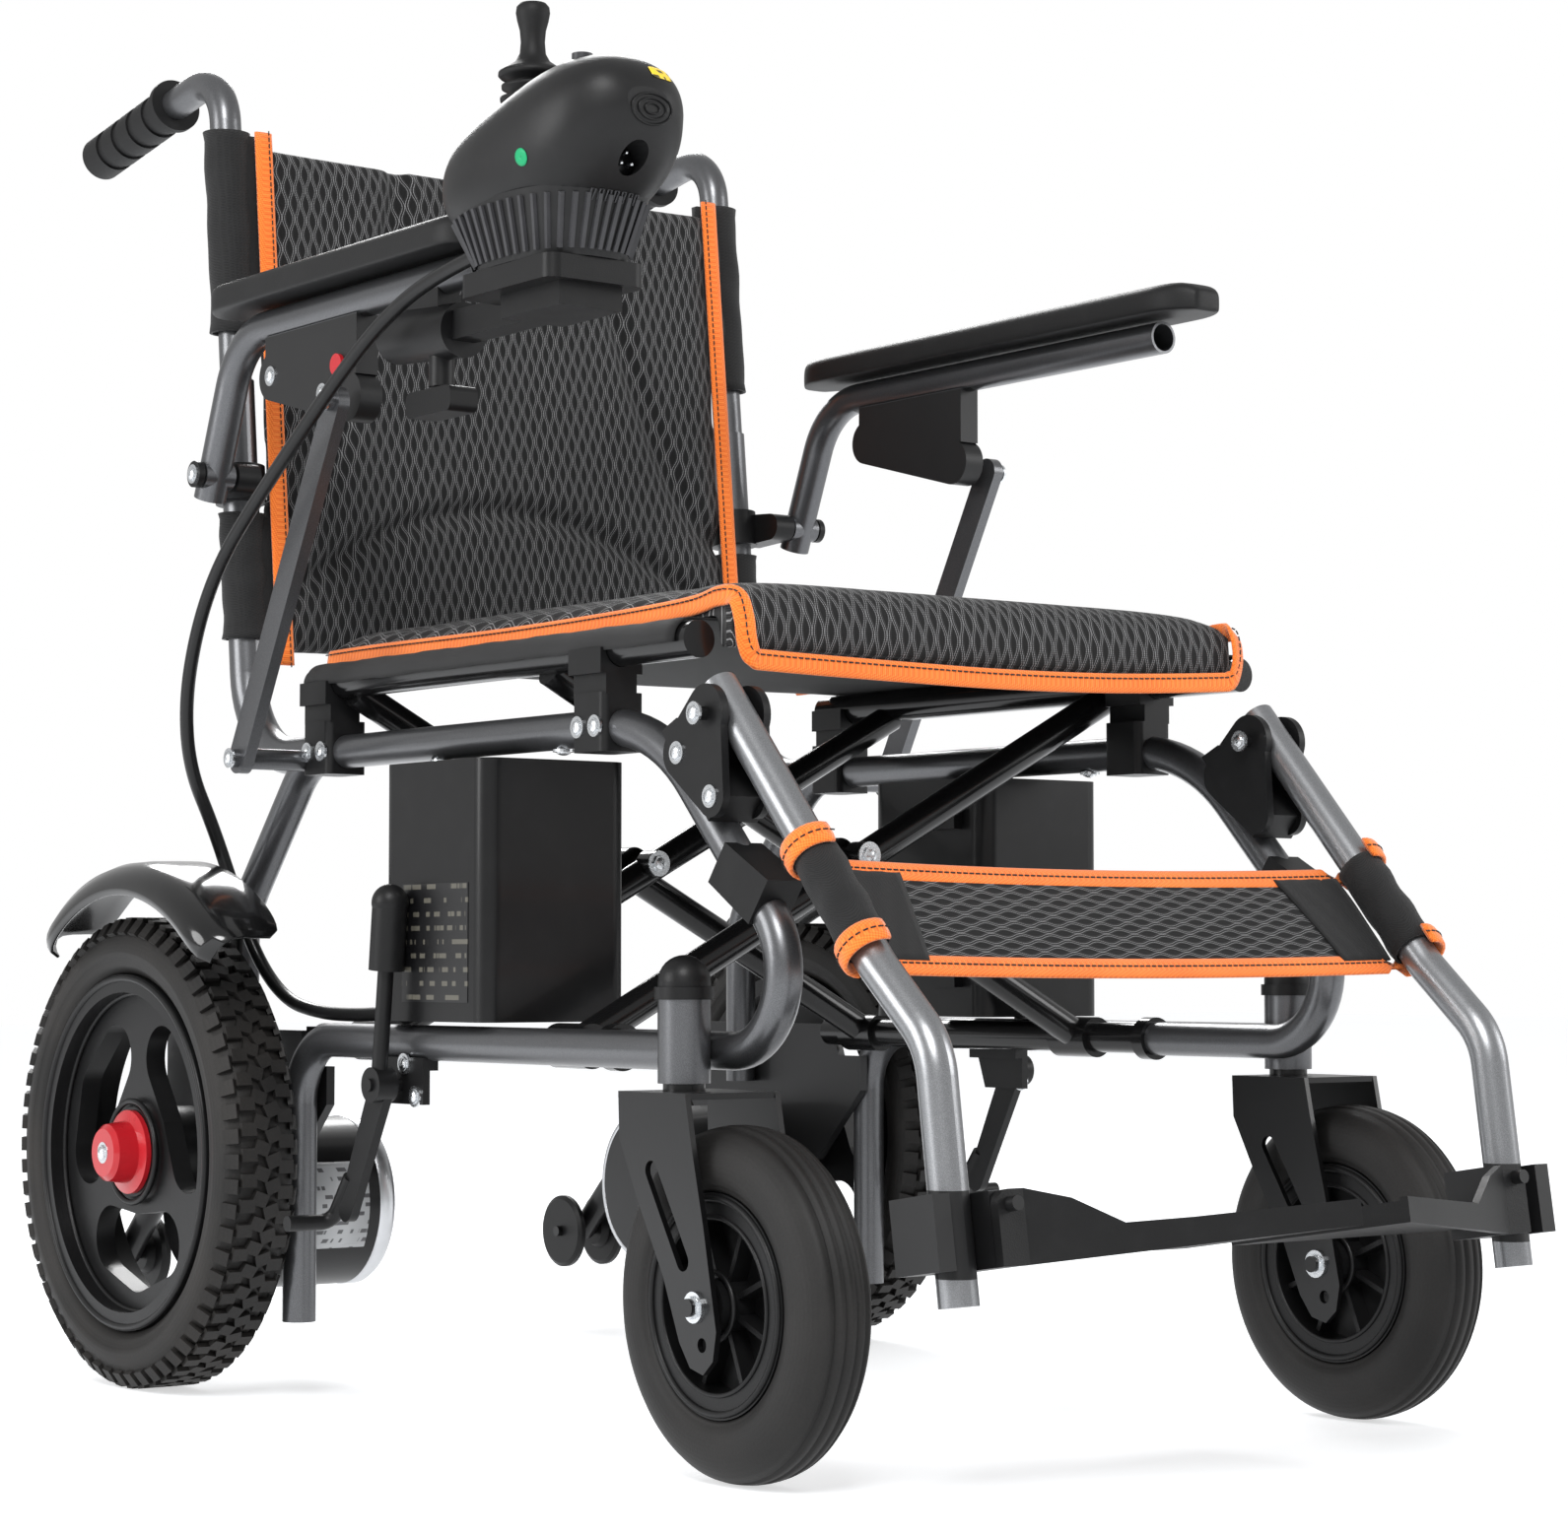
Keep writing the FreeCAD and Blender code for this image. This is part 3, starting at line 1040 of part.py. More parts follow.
put("armrest_tube_right", mirrored(armrest_tube(ARM_FRONT_Y_RIGHT)))
put_pair("armrest_button", armrest_button())
put("armrest_pad_left", armrest_pad(PAD_Y[0]))
put("armrest_pad_right", mirrored(armrest_pad(PAD_FRONT_Y_RIGHT)))
put_pair("armrest_strut", armrest_strut())
put_pair("brake_lever", brake_lever())
brace_a, brace_b = brace_halves()
put("cross_brace_a", brace_a)
put("cross_brace_b", brace_b)
put("seat_sling", seat_sling())
put("seat_cushion", seat_cushion())
put("back_upholstery", back_upholstery())
put("calf_strap", calf_strap())
put("controller_mount", controller_mount())
put("controller_rod", controller_rod())
put("clamp_knob", clamp_knob())
put("controller_shell", controller_shell())
put("joystick_gimbal", gimbal())
put("joystick", joystick())
put("power_button", pod_button(-16))
put("horn_button", pod_button(16))
put("controller_cable", controller_cable())
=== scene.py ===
import json
import logging
import math
from dataclasses import dataclass
from enum import Enum
from typing import Callable, Iterable, Sequence

import bmesh
import bpy
from mathutils import Matrix, Vector
from mathutils.bvhtree import BVHTree

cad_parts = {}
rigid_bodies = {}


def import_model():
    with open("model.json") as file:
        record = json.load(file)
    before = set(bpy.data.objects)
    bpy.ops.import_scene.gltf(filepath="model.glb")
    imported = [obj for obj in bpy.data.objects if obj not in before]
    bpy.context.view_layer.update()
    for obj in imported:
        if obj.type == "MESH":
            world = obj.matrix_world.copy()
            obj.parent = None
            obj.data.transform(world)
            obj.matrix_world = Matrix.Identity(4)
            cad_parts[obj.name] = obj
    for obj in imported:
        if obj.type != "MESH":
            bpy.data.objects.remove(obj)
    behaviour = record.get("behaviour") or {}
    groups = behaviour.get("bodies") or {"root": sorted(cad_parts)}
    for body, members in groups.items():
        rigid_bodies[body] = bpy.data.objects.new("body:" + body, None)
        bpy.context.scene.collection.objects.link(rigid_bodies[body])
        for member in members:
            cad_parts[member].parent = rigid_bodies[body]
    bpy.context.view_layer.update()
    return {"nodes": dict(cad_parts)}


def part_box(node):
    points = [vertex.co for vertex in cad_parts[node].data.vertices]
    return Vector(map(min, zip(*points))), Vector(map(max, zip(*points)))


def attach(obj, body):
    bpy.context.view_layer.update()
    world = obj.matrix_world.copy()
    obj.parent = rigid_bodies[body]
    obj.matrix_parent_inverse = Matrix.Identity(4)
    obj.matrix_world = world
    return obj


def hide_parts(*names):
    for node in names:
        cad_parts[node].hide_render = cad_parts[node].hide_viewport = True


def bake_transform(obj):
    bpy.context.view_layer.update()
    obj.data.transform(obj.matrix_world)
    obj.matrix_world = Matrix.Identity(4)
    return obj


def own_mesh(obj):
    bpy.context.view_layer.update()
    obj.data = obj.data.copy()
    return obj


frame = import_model()

LOG = logging.getLogger("wheelchair")
STEM_Y = -0.23818  # where the caster stems stand along the shared frame's Y
Colour = tuple[float, float, float]
SIDE_X = 213.0  # middle of a side frame's tubes, in millimetres from the chair's middle
WHEEL_Y, WHEEL_Z = 555.0, 158.0  # drive axle
ALONG_X = Vector((1, 0, 0))
ALONG_Y = Vector((0, 1, 0))
ALONG_Z = Vector((0, 0, 1))
CLOTH_TICKS = 20  # steps of each pad's cloth simulation
TREAD_RADIUS = 0.158


class Side(Enum):
    """The two sides of the chair, as the sign of X."""

    LEFT = 1
    RIGHT = -1

    @property
    def word(self) -> str:
        """The side's name in node and body names."""
        return self.name.lower()


class Cap(Enum):
    """How the ends of a loft are closed."""

    OPEN = "open"
    FAN = "fan"


def at(x: float, y: float, z: float) -> Vector:
    """A point given in millimetres, with Y counted from the caster stems, in the shared frame."""
    return Vector((x / 1000, y / 1000 + STEM_Y, z / 1000))


def circle(count: int) -> list[float]:
    """Angles in radians, evenly spread round a full turn."""
    return [2 * math.pi * k / count for k in range(count)]


def squared(value: float, power: float) -> float:
    """A sine or cosine raised to a power with its sign kept, for squarer sections."""
    return math.copysign(abs(value) ** power, value)


def round_section(x: float, radius: float, thick: float, count: int) -> list[tuple[float, float]]:
    """Profile of a round ring for a lathe.

    Args:
        x: its place along the axis.
        radius: the ring's radius.
        thick: the radius of its section.
        count: how many points the section has.

    Returns:
        (distance along the axis, radius) pairs.
    """
    return [(x + thick * math.cos(a), radius + thick * math.sin(a)) for a in circle(count)]


def both_halves(half: Sequence[tuple[float, float]]) -> list[tuple[float, float]]:
    """A tyre's profile from its outer half, mirrored about the middle plane."""
    return [*half, *((-a, b) for a, b in reversed(half) if a > 0)]


def link_new(name: str, data: bpy.types.ID) -> bpy.types.Object:
    """A new object round some data, put in the scene."""
    obj = bpy.data.objects.new(name, data)
    bpy.context.scene.collection.objects.link(obj)
    return obj


def evaluated_mesh(obj: bpy.types.Object) -> bpy.types.Mesh:
    """A plain copy of an object's mesh with its modifiers applied."""
    graph = bpy.context.evaluated_depsgraph_get()
    return bpy.data.meshes.new_from_object(obj.evaluated_get(graph))


# ---------------------------------------------------------------- shader building


class Sock:
    """One output socket of a shader tree, usable in Python arithmetic."""

    def __init__(self, tree: bpy.types.NodeTree, socket: bpy.types.NodeSocket) -> None:
        """Keep the tree and the socket."""
        self.tree = tree
        self.socket = socket

    def math(self, operation: str, *others: "float | Sock", flip: bool = False) -> "Sock":
        """Add one Math node.

        Args:
            operation: the Math node's operation.
            others: the values or sockets after this one.
            flip: put this socket last.

        Returns:
            The node's output.
        """
        node = self.tree.nodes.new("ShaderNodeMath")
        node.operation = operation
        values = [self, *others]
        if flip:
            values.reverse()
        for slot, value in zip(node.inputs, values):
            if isinstance(value, Sock):
                self.tree.links.new(value.socket, slot)
            else:
                slot.default_value = value
        return Sock(self.tree, node.outputs[0])

    def __add__(self, other: "float | Sock") -> "Sock":
        """Sum."""
        return self.math("ADD", other)

    __radd__ = __add__

    def __sub__(self, other: "float | Sock") -> "Sock":
        """Difference."""
        return self.math("SUBTRACT", other)

    def __rsub__(self, other: "float | Sock") -> "Sock":
        """Difference from a number."""
        return self.math("SUBTRACT", other, flip=True)

    def __mul__(self, other: "float | Sock") -> "Sock":
        """Product."""
        return self.math("MULTIPLY", other)

    __rmul__ = __mul__

    def __truediv__(self, other: "float | Sock") -> "Sock":
        """Quotient."""
        return self.math("DIVIDE", other)

    def sine(self) -> "Sock":
        """Sine in radians."""
        return self.math("SINE")

    def low(self, other: "float | Sock") -> "Sock":
        """The smaller of two."""
        return self.math("MINIMUM", other)

    def high(self, other: "float | Sock") -> "Sock":
        """The larger of two."""
        return self.math("MAXIMUM", other)

    def step(self, start: float, end: float) -> "Sock":
        """Smooth step: 0 at start, 1 at end.

        Args:
            start: where it leaves 0.
            end: where it reaches 1.

        Returns:
            The node's output.
        """
        node = self.tree.nodes.new("ShaderNodeMapRange")
        node.interpolation_type = "SMOOTHSTEP"
        self.tree.links.new(self.socket, node.inputs[0])
        node.inputs[1].default_value = start
        node.inputs[2].default_value = end
        return Sock(self.tree, node.outputs[0])


class Recipe:
    """Builds one material round a Principled shader."""

    def __init__(self, name: str) -> None:
        """Start an empty material of that name.

        Args:
            name: the material's name.
        """
        self.material = bpy.data.materials.new(name)
        self.material.use_nodes = True
        self.tree = self.material.node_tree
        self.shader = self.tree.nodes["Principled BSDF"]

    def node(self, kind: str, settings: dict | None = None, values: dict | None = None,
             out: int | str = 0) -> Sock:
        """Add one node.

        Args:
            kind: the node's type.
            settings: its own properties, set first.
            values: numbers or sockets by input name or index.
            out: which output to return.

        Returns:
            That output.
        """
        made = self.tree.nodes.new(kind)
        for key, value in (settings or {}).items():
            setattr(made, key, value)
        for key, value in (values or {}).items():
            if isinstance(value, Sock):
                self.tree.links.new(value.socket, made.inputs[key])
            else:
                made.inputs[key].default_value = value
        return Sock(self.tree, made.outputs[out])

    def set(self, **numbers: float | Colour) -> None:
        """Set the shader's own sockets, named in lower case with underscores.

        Args:
            numbers: plain numbers or colours.
        """
        for key, value in numbers.items():
            slot = self.shader.inputs[key.replace("_", " ").title().replace("Ior", "IOR")]
            slot.default_value = (*value, 1.0) if isinstance(value, tuple) else value

    def feed(self, name: str, value: Sock) -> None:
        """Link a socket into the shader."""
        self.tree.links.new(value.socket, self.shader.inputs[name])

    def place(self) -> Sock:
        """Object coordinates, in metres."""
        return self.node("ShaderNodeTexCoord", out="Object")

    def axes(self, coords: Sock) -> tuple[Sock, Sock, Sock]:
        """The three numbers of a vector.

        Args:
            coords: the vector.

        Returns:
            X, Y and Z.
        """
        split = self.tree.nodes.new("ShaderNodeSeparateXYZ")
        self.tree.links.new(coords.socket, split.inputs[0])
        return tuple(Sock(self.tree, split.outputs[k]) for k in range(3))

    def uv(self) -> tuple[Sock, Sock]:
        """The piece's own UV map, in metres.

        Returns:
            The distance across and along the piece.
        """
        u, v, _ = self.axes(self.node("ShaderNodeUVMap", {"uv_map": "cloth"}))
        return u, v

    def noise(self, scale: float, detail: float = 3.0, coords: Sock | None = None) -> Sock:
        """Soft noise from 0 to 1."""
        return self.node("ShaderNodeTexNoise", None,
                         {"Vector": coords or self.place(), "Scale": scale, "Detail": detail})

    def mix(self, mask: Sock, first: "Colour | Sock", second: "Colour | Sock") -> Sock:
        """Blend two colours by a mask.

        Args:
            mask: 0 for the first colour and 1 for the second.
            first: a colour.
            second: a colour.

        Returns:
            The blend.
        """
        values: dict = {0: mask}
        for key, colour in ((6, first), (7, second)):
            values[key] = colour if isinstance(colour, Sock) else (*colour, 1.0)
        return self.node("ShaderNodeMix", {"data_type": "RGBA"}, values, out=2)

    def bump(self, height: Sock, distance: float, strength: float = 1.0) -> None:
        """Feed a height into the shader's normal, distance in metres."""
        self.feed("Normal", self.node("ShaderNodeBump", None,
                                      {"Height": height, "Distance": distance,
                                       "Strength": strength}))


class Finish:
    """Base of all finishes: makes its material once and keeps it."""

    _made: dict[str, bpy.types.Material] = {}
    name: str

    def brew(self, recipe: Recipe) -> None:
        """Fill in the recipe."""
        raise NotImplementedError

    def material(self) -> bpy.types.Material:
        """The finished material.

        Returns:
            The material, the same one every time.
        """
        if self.name not in Finish._made:
            recipe = Recipe(self.name)
            self.brew(recipe)
            Finish._made[self.name] = recipe.material
        return Finish._made[self.name]


def dim(colour: Colour, share: float) -> Colour:
    """A colour made darker or brighter by a factor."""
    return tuple(min(1.0, c * share) for c in colour)


@dataclass(frozen=True)
class TubePaint(Finish):
    """Metallic paint on tube, with fine flake and an even satin sheen."""

    name: str
    colour: Colour
    roughness: float = 0.32
    metallic: float = 0.85

    def brew(self, recipe: Recipe) -> None:
        """Flake in the colour, slow drift in the gloss, slight orange peel.

        Args:
            recipe: the material being made.
        """
        flake = recipe.noise(2600, 1)
        drift = recipe.noise(14, 2)
        recipe.feed("Base Color",
                    recipe.mix(flake.step(0.35, 0.7), dim(self.colour, 0.8), dim(self.colour, 1.2)))
        recipe.feed("Roughness", drift * 0.12 + (self.roughness - 0.06))
        recipe.set(metallic=self.metallic, coat_weight=0.2, coat_roughness=0.12,
                   specular_ior_level=0.35)
        recipe.bump(recipe.noise(420, 2), 0.00004, 0.5)


@dataclass(frozen=True)
class Plastic(Finish):
    """Moulded plastic with a fine grain and handling marks."""

    name: str
    colour: Colour
    roughness: float = 0.45
    grain: float = 1500.0
    depth: float = 0.00006
    coat: float = 0.0
    shine: float = 0.24

    def brew(self, recipe: Recipe) -> None:
        """Grain in the bump, faint wipe marks in the gloss.

        Args:
            recipe: the material being made.
        """
        cells = recipe.node("ShaderNodeTexVoronoi", None,
                            {"Vector": recipe.place(), "Scale": self.grain})
        wipe = recipe.noise(9, 4)
        dust = recipe.noise(60, 5)
        recipe.feed("Base Color", recipe.mix(dust.step(0.45, 0.8), self.colour,
                                             tuple(c * 1.2 + 0.001 for c in self.colour)))
        recipe.feed("Roughness", wipe * 0.16 + dust * 0.05 + (self.roughness - 0.1))
        recipe.set(coat_weight=self.coat, coat_roughness=0.08, specular_ior_level=self.shine)
        recipe.bump(cells, self.depth, 0.6)


@dataclass(frozen=True)
class TyreRubber(Finish):
    """Tyre rubber: near black, browned and dusty on the sidewall, with faint mould rings."""

    name: str
    hub_y: float
    hub_z: float
    colour: Colour = (0.0055, 0.0052, 0.005)
    bloom: Colour = (0.022, 0.0195, 0.0175)

    def brew(self, recipe: Recipe) -> None:
        """Bloom by noise, rings by distance from the hub, fine pitting in the bump.

        Args:
            recipe: the material being made.
        """
        _, y, z = recipe.axes(recipe.place())
        dy, dz = y - self.hub_y, z - self.hub_z
        radius = (dy * dy + dz * dz).math("SQRT")
        cloud = recipe.noise(16, 6)
        fine = recipe.noise(700, 4)
        rings = (radius * 2400.0).sine()
        recipe.feed("Base Color",
                    recipe.mix((cloud * 0.8 + fine * 0.3).step(0.3, 0.95), self.colour, self.bloom))
        recipe.feed("Roughness", cloud * 0.18 + 0.5)
        recipe.set(specular_ior_level=0.3)
        recipe.bump(rings * 0.16 + fine, 0.00022, 0.5)


@dataclass(frozen=True)
class CastOnTube(Finish):
    """Metallic tube paint that turns to black casting inside one block of space."""

    name: str
    tube: Colour
    y: tuple[float, float]
    z: tuple[float, float]
    cast: Colour = (0.0055, 0.0055, 0.0058)

    def brew(self, recipe: Recipe) -> None:
        """A sharp mask from the block's limits switches colour, gloss and metal.

        Args:
            recipe: the material being made.
        """
        _, y, z = recipe.axes(recipe.place())
        edge = 0.0002
        mask = y.step(self.y[0] - edge, self.y[0]) * (1 - y.step(self.y[1], self.y[1] + edge))
        mask = mask * z.step(self.z[0] - edge,
                             self.z[0]) * (1 - z.step(self.z[1], self.z[1] + edge))
        flake = recipe.noise(2600, 1)
        paint = recipe.mix(flake.step(0.35, 0.7), dim(self.tube, 0.8), dim(self.tube, 1.2))
        grain = recipe.noise(60, 5)
        black = recipe.mix(grain, self.cast, dim(self.cast, 1.5))
        recipe.feed("Base Color", recipe.mix(mask, paint, black))
        recipe.feed("Metallic", 0.85 - mask * 0.85)
        recipe.feed("Roughness", recipe.noise(14, 2) * 0.12 + mask * 0.12 + 0.26)
        recipe.set(specular_ior_level=0.35)
        recipe.bump(recipe.noise(420, 2), 0.00004, 0.5)


@dataclass(frozen=True)
class BareMetal(Finish):
    """Plated or bare metal with fine turning marks."""

    name: str
    colour: Colour
    roughness: float = 0.25

    def brew(self, recipe: Recipe) -> None:
        """Uneven gloss and light scratches.

        Args:
            recipe: the material being made.
        """
        marks = recipe.noise(900, 3)
        recipe.feed("Base Color",
                    recipe.mix(recipe.noise(130, 3), dim(self.colour, 0.85), self.colour))
        recipe.feed("Roughness", marks * 0.2 + (self.roughness - 0.1))
        recipe.set(metallic=1.0)
        recipe.bump(marks, 0.00002, 0.5)


@dataclass(frozen=True)
class SpacerMesh(Finish):
    """Spacer cloth: pale waved threads on grey ribs that part round black lens-shaped holes."""

    name: str
    pitch: float = 0.0047
    height: float = 0.022
    sway: float = 0.0014
    turned: bool = False

    def brew(self, recipe: Recipe) -> None:
        """Two families of waved ribs in opposite step; the nearer one gives thread, rib or hole.

        Args:
            recipe: the material being made.
        """
        u, v = recipe.uv()
        if self.turned:
            u, v = v, u
        drift = recipe.noise(30, 2) - 0.5
        u = u + drift * 0.0012
        wave = (v * (2 * math.pi / self.height)).sine() * self.sway
        odd = (u + wave - self.pitch).math("PINGPONG", self.pitch)
        gap = (u - wave).math("PINGPONG", self.pitch).low(odd) * 1000.0
        thread = 1 - (gap - 0.75).math("ABSOLUTE").step(0.05, 0.26)
        rib = 1 - gap.step(1.7, 2.15)
        knit = (v * 5200.0).sine() * 0.5 + 0.5
        cross = (u * 7400.0).sine() * 0.5 + 0.5
        grey = recipe.mix(knit * cross, (0.009, 0.009, 0.0093), (0.034, 0.034, 0.035))
        hole = recipe.mix(cross, (0.003, 0.003, 0.003), (0.007, 0.007, 0.0075))
        cloth = recipe.mix(rib, hole, grey)
        pale = recipe.mix(knit, (0.16, 0.16, 0.163), (0.36, 0.36, 0.365))
        recipe.feed("Base Color", recipe.mix(thread, cloth, pale))
        recipe.feed("Roughness", 0.85 - thread * 0.25)
        recipe.set(sheen_weight=0.06, specular_ior_level=0.25)
        recipe.bump(rib * 0.8 + thread * 0.5 + knit * rib * 0.25, 0.0007, 0.8)


@dataclass(frozen=True)
class Weave(Finish):
    """Plain woven nylon or braid, with the two thread sets in its bump."""

    name: str
    colour: Colour
    pale: Colour
    thread: float = 0.0009
    slant: float = 0.0
    sheen: float = 0.08

    def brew(self, recipe: Recipe) -> None:
        """Warp and weft from the UV map, soft creases from noise.

        Args:
            recipe: the material being made.
        """
        u, v = recipe.uv()
        warp = ((u + v * self.slant) * (2 * math.pi / self.thread)).sine()
        weft = ((v - u * self.slant) * (2 * math.pi / self.thread)).sine()
        cloth = (warp * weft) * 0.5 + 0.5
        fade = recipe.noise(22, 4)
        recipe.feed("Base Color",
                    recipe.mix((cloth * 0.65 + fade * 0.5).step(0.15, 1.0), self.colour, self.pale))
        recipe.feed("Roughness", cloth * -0.15 + 0.8)
        recipe.set(sheen_weight=self.sheen, specular_ior_level=0.25)
        recipe.bump(cloth + fade * 0.6, 0.00035, 0.7)


@dataclass(frozen=True)
class StudioFloor(Finish):
    """White studio sweep, lit a little from within so that it meets the backdrop."""

    name: str

    def brew(self, recipe: Recipe) -> None:
        """Near-white paint with a faint cloud in its gloss.

        Args:
            recipe: the material being made.
        """
        recipe.set(base_color=(0.6, 0.615, 0.635), emission_color=(0.6, 0.6, 0.6),
                   emission_strength=1.0, specular_ior_level=0.1)
        recipe.feed("Roughness", recipe.noise(3, 2) * 0.1 + 0.7)


@dataclass(frozen=True)
class Sticker(Finish):
    """Printed label: a plain field with ruled bars of one colour, and no lettering."""

    name: str
    field: Colour
    ink: Colour
    rows: float = 0.006
    share: float = 0.5
    line: float = 0.3

    def brew(self, recipe: Recipe) -> None:
        """Rows along Z, broken into bars by noise.

        Args:
            recipe: the material being made.
        """
        x, y, z = recipe.axes(recipe.place())
        row = z.math("PINGPONG", self.rows / 2) / (self.rows / 2)
        spot = recipe.node("ShaderNodeCombineXYZ", None,
                           {0: (x + y) * 120.0, 1: (z / self.rows).math("ROUND") * 7.3})
        bars = recipe.node("ShaderNodeTexNoise", {"noise_dimensions": "2D"},
                           {"Vector": spot, "Scale": 1.0})
        ink = (1 - row.step(self.line, self.line + 0.1)) * bars.step(self.share, self.share + 0.03)
        recipe.feed("Base Color", recipe.mix(ink, self.field, self.ink))
        recipe.feed("Roughness", recipe.noise(40, 2) * 0.15 + 0.25)


GUNMETAL = TubePaint("gunmetal_tube", (0.125, 0.127, 0.133), 0.34)
SILVER = TubePaint("silver_tube", (0.27, 0.275, 0.285), 0.3)
CLAMP_Y, CLAMP_Z = (-0.4738, -0.4180), (0.1210, 0.1663)  # block of space round a footplate's clamp
BRACKET_Y, BRACKET_Z = (at(0, 322, 0).y, at(0, 458, 0).y), (0.625,
                                                            0.6985)  # round an armrest's bracket
HANGER = CastOnTube("hanger_with_clamp", SILVER.colour, CLAMP_Y, CLAMP_Z)
ARM_TUBE = CastOnTube("arm_tube_with_bracket", GUNMETAL.colour, BRACKET_Y, BRACKET_Z)
BLACK_TUBE = TubePaint("black_tube", (0.007, 0.007, 0.0073), 0.2, 0.3)
FORK_PAINT = TubePaint("fork_paint", (0.0045, 0.0045, 0.0048), 0.32, 0.2)
MOTOR_PAINT = TubePaint("motor_paint", (0.009, 0.009, 0.0095), 0.38, 0.4)
FITTING = Plastic("black_fitting", (0.0055, 0.0055, 0.0058), 0.42)
CASE = Plastic("battery_case", (0.0042, 0.0042, 0.0045), 0.3, 2200, 0.00004, 0.12)
RIM_PLASTIC = Plastic("rim_plastic", (0.0062, 0.0062, 0.0065), 0.38)
PAD = Plastic("arm_pad", (0.0066, 0.0066, 0.0069), 0.48, 1100, 0.00012)
GUARD = Plastic("guard_gloss", (0.0036, 0.0036, 0.0038), 0.16, 2600, 0.00001, 0.6)
POD = Plastic("pod_shell", (0.0095, 0.0095, 0.0098), 0.42, 2400, 0.00005)
GRIP = Plastic("grip_rubber", (0.0065, 0.0065, 0.0068), 0.56, 1500, 0.0001)
RED = Plastic("red_gloss", (0.40, 0.010, 0.016), 0.28, 2600, 0.00001, 0.5)
# Light grey of the keys and vents; on the louvre fins this lighter grey is a painted highlight.
KEY_GREY_AND_FIN_HIGHLIGHT = Plastic("pod_key_and_fin_highlight", (0.04, 0.04, 0.043), 0.35)
CABLE = Plastic("cable_jacket", (0.005, 0.005, 0.0053), 0.36, 1800, 0.00003, 0.2)
ZINC = BareMetal("zinc_plate", (0.72, 0.74, 0.76), 0.26)
ALUMINIUM = BareMetal("turned_aluminium", (0.66, 0.67, 0.69), 0.35)
MESH = SpacerMesh("spacer_mesh")
MESH_BAND = SpacerMesh("spacer_mesh_band", turned=True)
NYLON = Weave("black_nylon", (0.004, 0.004, 0.0042), (0.016, 0.016, 0.0165), 0.0011)
ORANGE = Weave("orange_binding", (0.70, 0.115, 0.008), (0.92, 0.235, 0.03), 0.0022, 0.45, 0.3)
STITCH = Weave("black_thread", (0.008, 0.008, 0.008), (0.03, 0.03, 0.03), 0.001)
BATTERY_LABEL = Sticker("battery_label", (0.0045, 0.0045, 0.005), (0.085, 0.08, 0.065), 0.0085)
MOTOR_LABEL = Sticker("motor_label", (0.42, 0.43, 0.44), (0.09, 0.09, 0.095), 0.006, 0.5, 0.4)
YELLOW_LABEL = Sticker("yellow_label", (0.80, 0.56, 0.02), (0.06, 0.05, 0.01), 0.004, 0.52, 0.4)
GREEN_LABEL = Plastic("green_label", (0.01, 0.30, 0.12), 0.3, 2600, 0.00001)


# ---------------------------------------------------------------- mesh building


def make_mesh(name: str, points: Iterable[Vector], faces: Iterable[Sequence[int]], finish: Finish,
              smooth: bool = True) -> bpy.types.Object:
    """A mesh object at the origin.

    Args:
        name: the piece's name.
        points: vertices in the shared frame.
        faces: vertex numbers of each face.
        finish: the finish it is dressed in.
        smooth: shade it smooth.

    Returns:
        The object.
    """
    mesh = bpy.data.meshes.new(name)
    mesh.from_pydata([tuple(p) for p in points], [], [tuple(f) for f in faces])
    mesh.validate()
    for polygon in mesh.polygons:
        polygon.use_smooth = smooth
    obj = link_new(name, mesh)
    mesh.materials.append(finish.material())
    return obj


def loft(name: str, rings: Sequence[Sequence[Vector]], finish: Finish, caps: Cap = Cap.FAN,
         closed: bool = True, looped: bool = False) -> bpy.types.Object:
    """A skin through rings of equal count.

    Args:
        name: the piece's name.
        rings: rows of points.
        finish: its finish.
        caps: how the first and last ring are closed.
        closed: each ring closes on itself.
        looped: the last ring joins the first.

    Returns:
        The object, with its faces pointing outwards.
    """
    count = len(rings[0])
    points = [p for ring in rings for p in ring]
    faces = []
    turns = len(rings) if looped else len(rings) - 1
    for i in range(turns):
        j = (i + 1) % len(rings)
        for k in range(count if closed else count - 1):
            m = (k + 1) % count
            faces.append((i * count + k, i * count + m, j * count + m, j * count + k))
    if caps is Cap.FAN and closed and not looped:
        for ring, order in ((0, -1), (len(rings) - 1, 1)):
            centre = len(points)
            points.append(sum(rings[ring], Vector()) / count)
            for k in range(count):
                edge = (ring * count + k, ring * count + (k + 1) % count)
                faces.append((*edge[::order], centre))
    obj = make_mesh(name, points, faces, finish)
    face_out(obj)
    return obj


def face_out(obj: bpy.types.Object) -> None:
    """Merge doubles and turn every face outwards.

    Args:
        obj: a piece whose mesh is closed, or all of one skin.
    """
    work = bmesh.new()
    work.from_mesh(obj.data)
    bmesh.ops.remove_doubles(work, verts=work.verts, dist=1e-6)
    bmesh.ops.recalc_face_normals(work, faces=work.faces)
    work.to_mesh(obj.data)
    work.free()


def lathe(name: str, profile: Sequence[tuple[float, float]], centre: Vector, axis: Vector,
          finish: Finish, steps: int = 96, looped: bool = True) -> bpy.types.Object:
    """A shape turned about an axis.

    Args:
        name: the piece's name.
        profile: (distance along the axis, radius) pairs in metres.
        centre: a point on the axis.
        axis: the axis, any length.
        finish: its finish.
        steps: how many steps make a turn.
        looped: the profile closes on itself, as a ring's does.

    Returns:
        The object.
    """
    way = axis.normalized()
    aside = way.orthogonal().normalized()
    other = way.cross(aside)
    rings = []
    for t in circle(steps):
        out = aside * math.cos(t) + other * math.sin(t)
        rings.append([centre + way * a + out * r for a, r in profile])
    obj = loft(name, rings, finish, Cap.OPEN, looped, True)
    if not looped:
        face_out(obj)
    return obj


